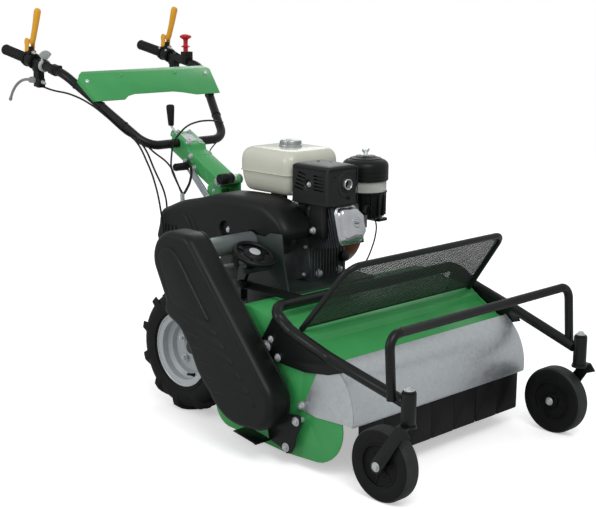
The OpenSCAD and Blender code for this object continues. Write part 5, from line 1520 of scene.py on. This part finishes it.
# %% Wheel details
for side, word in SIDES:
    x = side * WHEEL_X
    nuts = [hex_bolt("nut", (x + side * 5.2, 46 * math.cos(a), AXLE_Z + 46 * math.sin(a)),
                     (side, 0, 0), 15, 8) for a in (0.6, 2.17, 3.74, 5.31)]
    lip = turned("lip", [(38.5, 115), (38.5, 117.4), (41, 119.4), (43.6, 119), (44.2, 116.6), (42.6, 114.8)],
                 (x, 0, AXLE_Z), (side, 0, 0), 72)
    settle(joined(nuts + [lip]), "wheel_nuts_" + word, steel, "wheel_" + word, 40)
    stem = turned("valve", [(-2, ON_AXIS), (-2, 7), (4, 7), (8, 5), (26, 3.6), (27, 4.4), (34, 4.4),
                            (35, ON_AXIS)], (x + side * 9, -28, AXLE_Z - 85), (side, -0.1, 0.35), 24)
    settle(stem, "valve_" + word, grip_rubber, "wheel_" + word, 40)

# %% [markdown]
# The caster wheels are solid rubber on a plastic hub and turn on a plated bolt. A ring of small ribs
# and six spokes stiffen each face of the hub. The worn tread is greyer than the flanks.

# %% Caster hubs, treads and bolts
for side, word in SIDES:
    hub = (side * 395, -934, 102)
    for out in (-1, 1):
        rib = box("rib", (hub[0] + out * 17 - 1.2, hub[1] - 0.9, hub[2] + 61),
                  (hub[0] + out * 17 + 4.4, hub[1] + 0.9, hub[2] + 69), 0)
        ribs = copies(rib, [about(hub, LEFT, 6 * i) for i in range(60)])
        spokes = copies(box("spoke", (hub[0] + out * 15 - 2, hub[1] - 1.5, hub[2] + 18),
                            (hub[0] + out * 15 + 2, hub[1] + 1.5, hub[2] + 57), 0.5, 1),
                        [about(hub, LEFT, 60 * i + 15) for i in range(6)])
        rings = [turned("ring", [(14, r), (24.4, r), (24.8, r + 1), (24.4, r + 2), (14, r + 2)], hub,
                        (out, 0, 0), 64) for r in (58, 70)]
        hub_name = "caster_hub_%s_%s" % (word, "a" if out > 0 else "b")
        settle(joined([ribs, spokes] + rings), hub_name, hard_plastic, "caster_roller_" + word, 40)
    roller = edged["caster_wheel_" + word]
    roller.data.materials.append(tread_rubber)
    for face in roller.data.polygons:
        out_by = math.hypot(face.center.y - at(*hub).y, face.center.z - at(*hub).z)
        face.material_index = int(out_by > 0.0965 and abs(face.normal.x) < 0.9)
    cut(edged["caster_fork_" + word], pin(36.2, 46, 15, hub, (side, 0, 0), 32))
    bolts = [hex_bolt("axle_bolt", (hub[0] + side * 36, hub[1], hub[2]), (side, 0, 0), 17, 5.3, dome=False),
             hex_bolt("axle_nut", (hub[0] - side * 33, hub[1], hub[2]), (-side, 0, 0), 16, 7),
             hex_bolt("stem_nut", (hub[0], -1011, 322.5), UP, 19, 6)]
    settle(joined(bolts), "caster_bolts_" + word, steel, "caster_" + word)

# %% [markdown]
# Plated bolts hold the machine together. The frame's plain pins are replaced by hexagon bolts with
# washers, each on the body whose hole it fills.

# %% Bolts
FRAME_PIN = (-482, 330)
STRUT_FOOT = (168, 638)
fixings = []
for side in (-1, 1):
    fixings += [pin(-32, 0, 8, (side * 400.4, *FRAME_PIN), (side, 0, 0)),
                hex_bolt("pivot_bolt", (side * 400.7, *FRAME_PIN), (side, 0, 0), 24, 7),
                pin(-20, 0, 5, (side * 393, *HOOD_PIN), (side, 0, 0), 20),
                hex_bolt("hood_bolt", (side * 392.6, *HOOD_PIN), (side, 0, 0), 15, 6),
                hex_bolt("column_pin_head", (side * 46.6, PIN_Y, PIN_Z), (side, 0, 0), 22, 7)]
for y, z in ((-620, 144), (-581, 58)):
    fixings += [pin(-26, -4, 8, (-416, y, z), RIGHT),
                hex_bolt("foot_bolt", (-416.2, y, z), RIGHT, 17, 6)]
fixings += [pin(-52, 52, 8, (0, PIN_Y, PIN_Z), LEFT),
            pin(-58, -40, 6, (0, *STRUT_FOOT), LEFT, 20),
            hex_bolt("strut_bolt", (-53.6, *STRUT_FOOT), RIGHT, 17, 6),
            pin(-445, -412, 6, (0, -374, 190), LEFT, 20)]
settle(joined(fixings), "plated_bolts", steel, "chassis", 40, ["fasteners"])
for side, word in SIDES:
    settle(joined([hex_bolt("gusset_bolt", (side * 400.7, -531, 308), (side, 0, 0), 15, 5),
                   hex_bolt("gusset_bolt", (side * 400.7, -502, 356), (side, 0, 0), 13, 4)]),
           "gusset_bolts_" + word, steel, "front_frame")

# %% [markdown]
# Beside the cross tube lies the plated clamp rod of the height gear, with its lug.

# %% Clamp rod
along_rod = Vector((145, 28, -12)).normalized()
clamp = [pin(0, 150, 6, (-400, -249, 521), along_rod),
         hex_bolt("rod_head", (-399, -249, 521), tuple(-along_rod), 17, 8)]
settle(joined(clamp), "clamp_rod", steel, "chassis", 40)
lug_piece = box("clamp_lug", (-300, -245, 504), (-288, -215, 546), 2)
settle(lug_piece, "clamp_lug", plate_enamel, "chassis")

# %% [markdown]
# The handwheel gets a moulded hub plate with three short arms, and a pale cap over its nut. They lie
# square to the screw, which leans forward.

# %% Handwheel hub
screw_y, screw_z = 0.42, 0.9075
screw_way = Vector((0, -screw_y, screw_z))
hub_top = Vector((-285, -262, 458)) + 100 * screw_way
hub_plate = [turned("hub_plate", [(3, 9), (3, 30), (5, 33), (9, 33), (13, 26), (17, 21), (17, 9)],
                    tuple(hub_top), screw_way, 48)]
for i in range(3):
    angle = math.radians(120 * i)
    arm_way = Vector((math.cos(angle), math.sin(angle) * screw_z, math.sin(angle) * screw_y))
    cross = screw_way.cross(arm_way)
    corners = [hub_top + arm_way * a + cross * b + screw_way * 4.4 for a, b in (
        (26, -14), (40, -9), (54, -11), (54, 11), (40, 9), (26, 14))]
    arm = plate("arm", [at(*corner) for corner in corners], screw_way * 0.0072)
    apply_modifier(arm, "BEVEL", width=0.002, segments=2)
    hub_plate.append(arm)
settle(joined(hub_plate), "handwheel_hub", hard_plastic, "handwheel", 40)
cap_piece = turned("cap", [(10, ON_AXIS), (10, 18), (16.5, 18), (18.4, 16.6), (19, 12), (19, ON_AXIS)],
                   tuple(hub_top), screw_way, 40)
settle(cap_piece, "handwheel_cap", rim_enamel, "handwheel", 40)

# %% [markdown]
# Round the crankcase are the small parts that make an engine look like one: the side cover's flange
# with its bolts, cooling ribs, drain and filler plugs, the governor's stay with its rod and spring, and
# the float bowl of the carburettor.

# %% Crankcase and carburettor details
ribs = copies(box("rib", (-66, -330.6, 452), (-61.5, -326.5, 560), 1),
              [Matrix.Translation((0.013 * i, 0, 0)) for i in range(12)])
flange_line = [(-318, 452), (-120, 452), (-112, 540), (-126, 600), (-215, 628), (-300, 606), (-324, 560)]
flange = side_plate("flange", smooth_loop(flange_line, 3), -77, -71.6)
apply_modifier(flange, "BEVEL", width=0.0015, segments=2, limit_method="ANGLE")
boss = turned("boss", [(-2, 20), (-2, 56), (2, 60), (9, 52), (13, 44), (13, 20)], (-77, CRANK_Y, CRANK_Z),
              RIGHT, 48)
settle(joined([flange, boss, ribs]), "crankcase_cover", aluminium, "chassis", 35)
barrel_fins = [box("barrel_fin", (-94 + 0.5 * i, -300 + 8.5 * i, 640),
                   (-64, -296 + 8.5 * i, 684 - 1.5 * i), 1, 1) for i in range(8)]
settle(joined(barrel_fins), "breather_fins", aluminium, "chassis", 35)
plugs = [hex_bolt("cover_bolt", (-77.2, y, z), RIGHT, 11, 5, washer=False)
         for y, z in ((-312, 462), (-216, 458), (-126, 462), (-118, 540), (-134, 594), (-294, 600),
                      (-318, 550))]
plugs += [hex_bolt("drain_plug", (x, -327.4, 462), FRONT, 17, 8) for x in (-30, 62)]
arm = tube("governor_rod", [at(-82, -286, 664), at(-84, -262, 690), at(-60, -300, 704),
                            at(-20, -340, 690)], 2, 2)
spring = tube("governor_spring", [at(-78 + 4 * math.cos(a * 0.9), -292 + 1.1 * a, 676 + 4 * math.sin(a * 0.9))
                                  for a in range(60)], 0.9, 1)
stay = side_plate("stay", [(-300, 640), (-282, 640), (-276, 690), (-264, 716), (-276, 720), (-292, 694)],
                  -90, -87)
nut = hex_bolt("stay_nut", (-90.2, -288, 652), RIGHT, 12, 5)
settle(joined(plugs + [arm, spring, stay, nut]), "engine_fittings", steel, "chassis", 40)
filler = turned("filler", [(-6, ON_AXIS), (-6, 15), (8, 15), (9, 13), (11, 13), (12, 16), (20, 16),
                           (21, 14), (21, ON_AXIS)], (72, -327, 500), (0, -1, 0.35), 32)
settle(filler, "oil_filler_cap", hard_plastic, "chassis", 40)
bowl = turned("bowl", [(-68, ON_AXIS), (-68, 5), (-64, 6), (-62, 12), (-58, 17), (-52, 19.4), (-28, 19.6),
                       (-27, 22), (-22, 22), (-22, ON_AXIS)], (72, -393, 618), UP, 40)
settle(bowl, "float_bowl", aluminium, "chassis", 40)
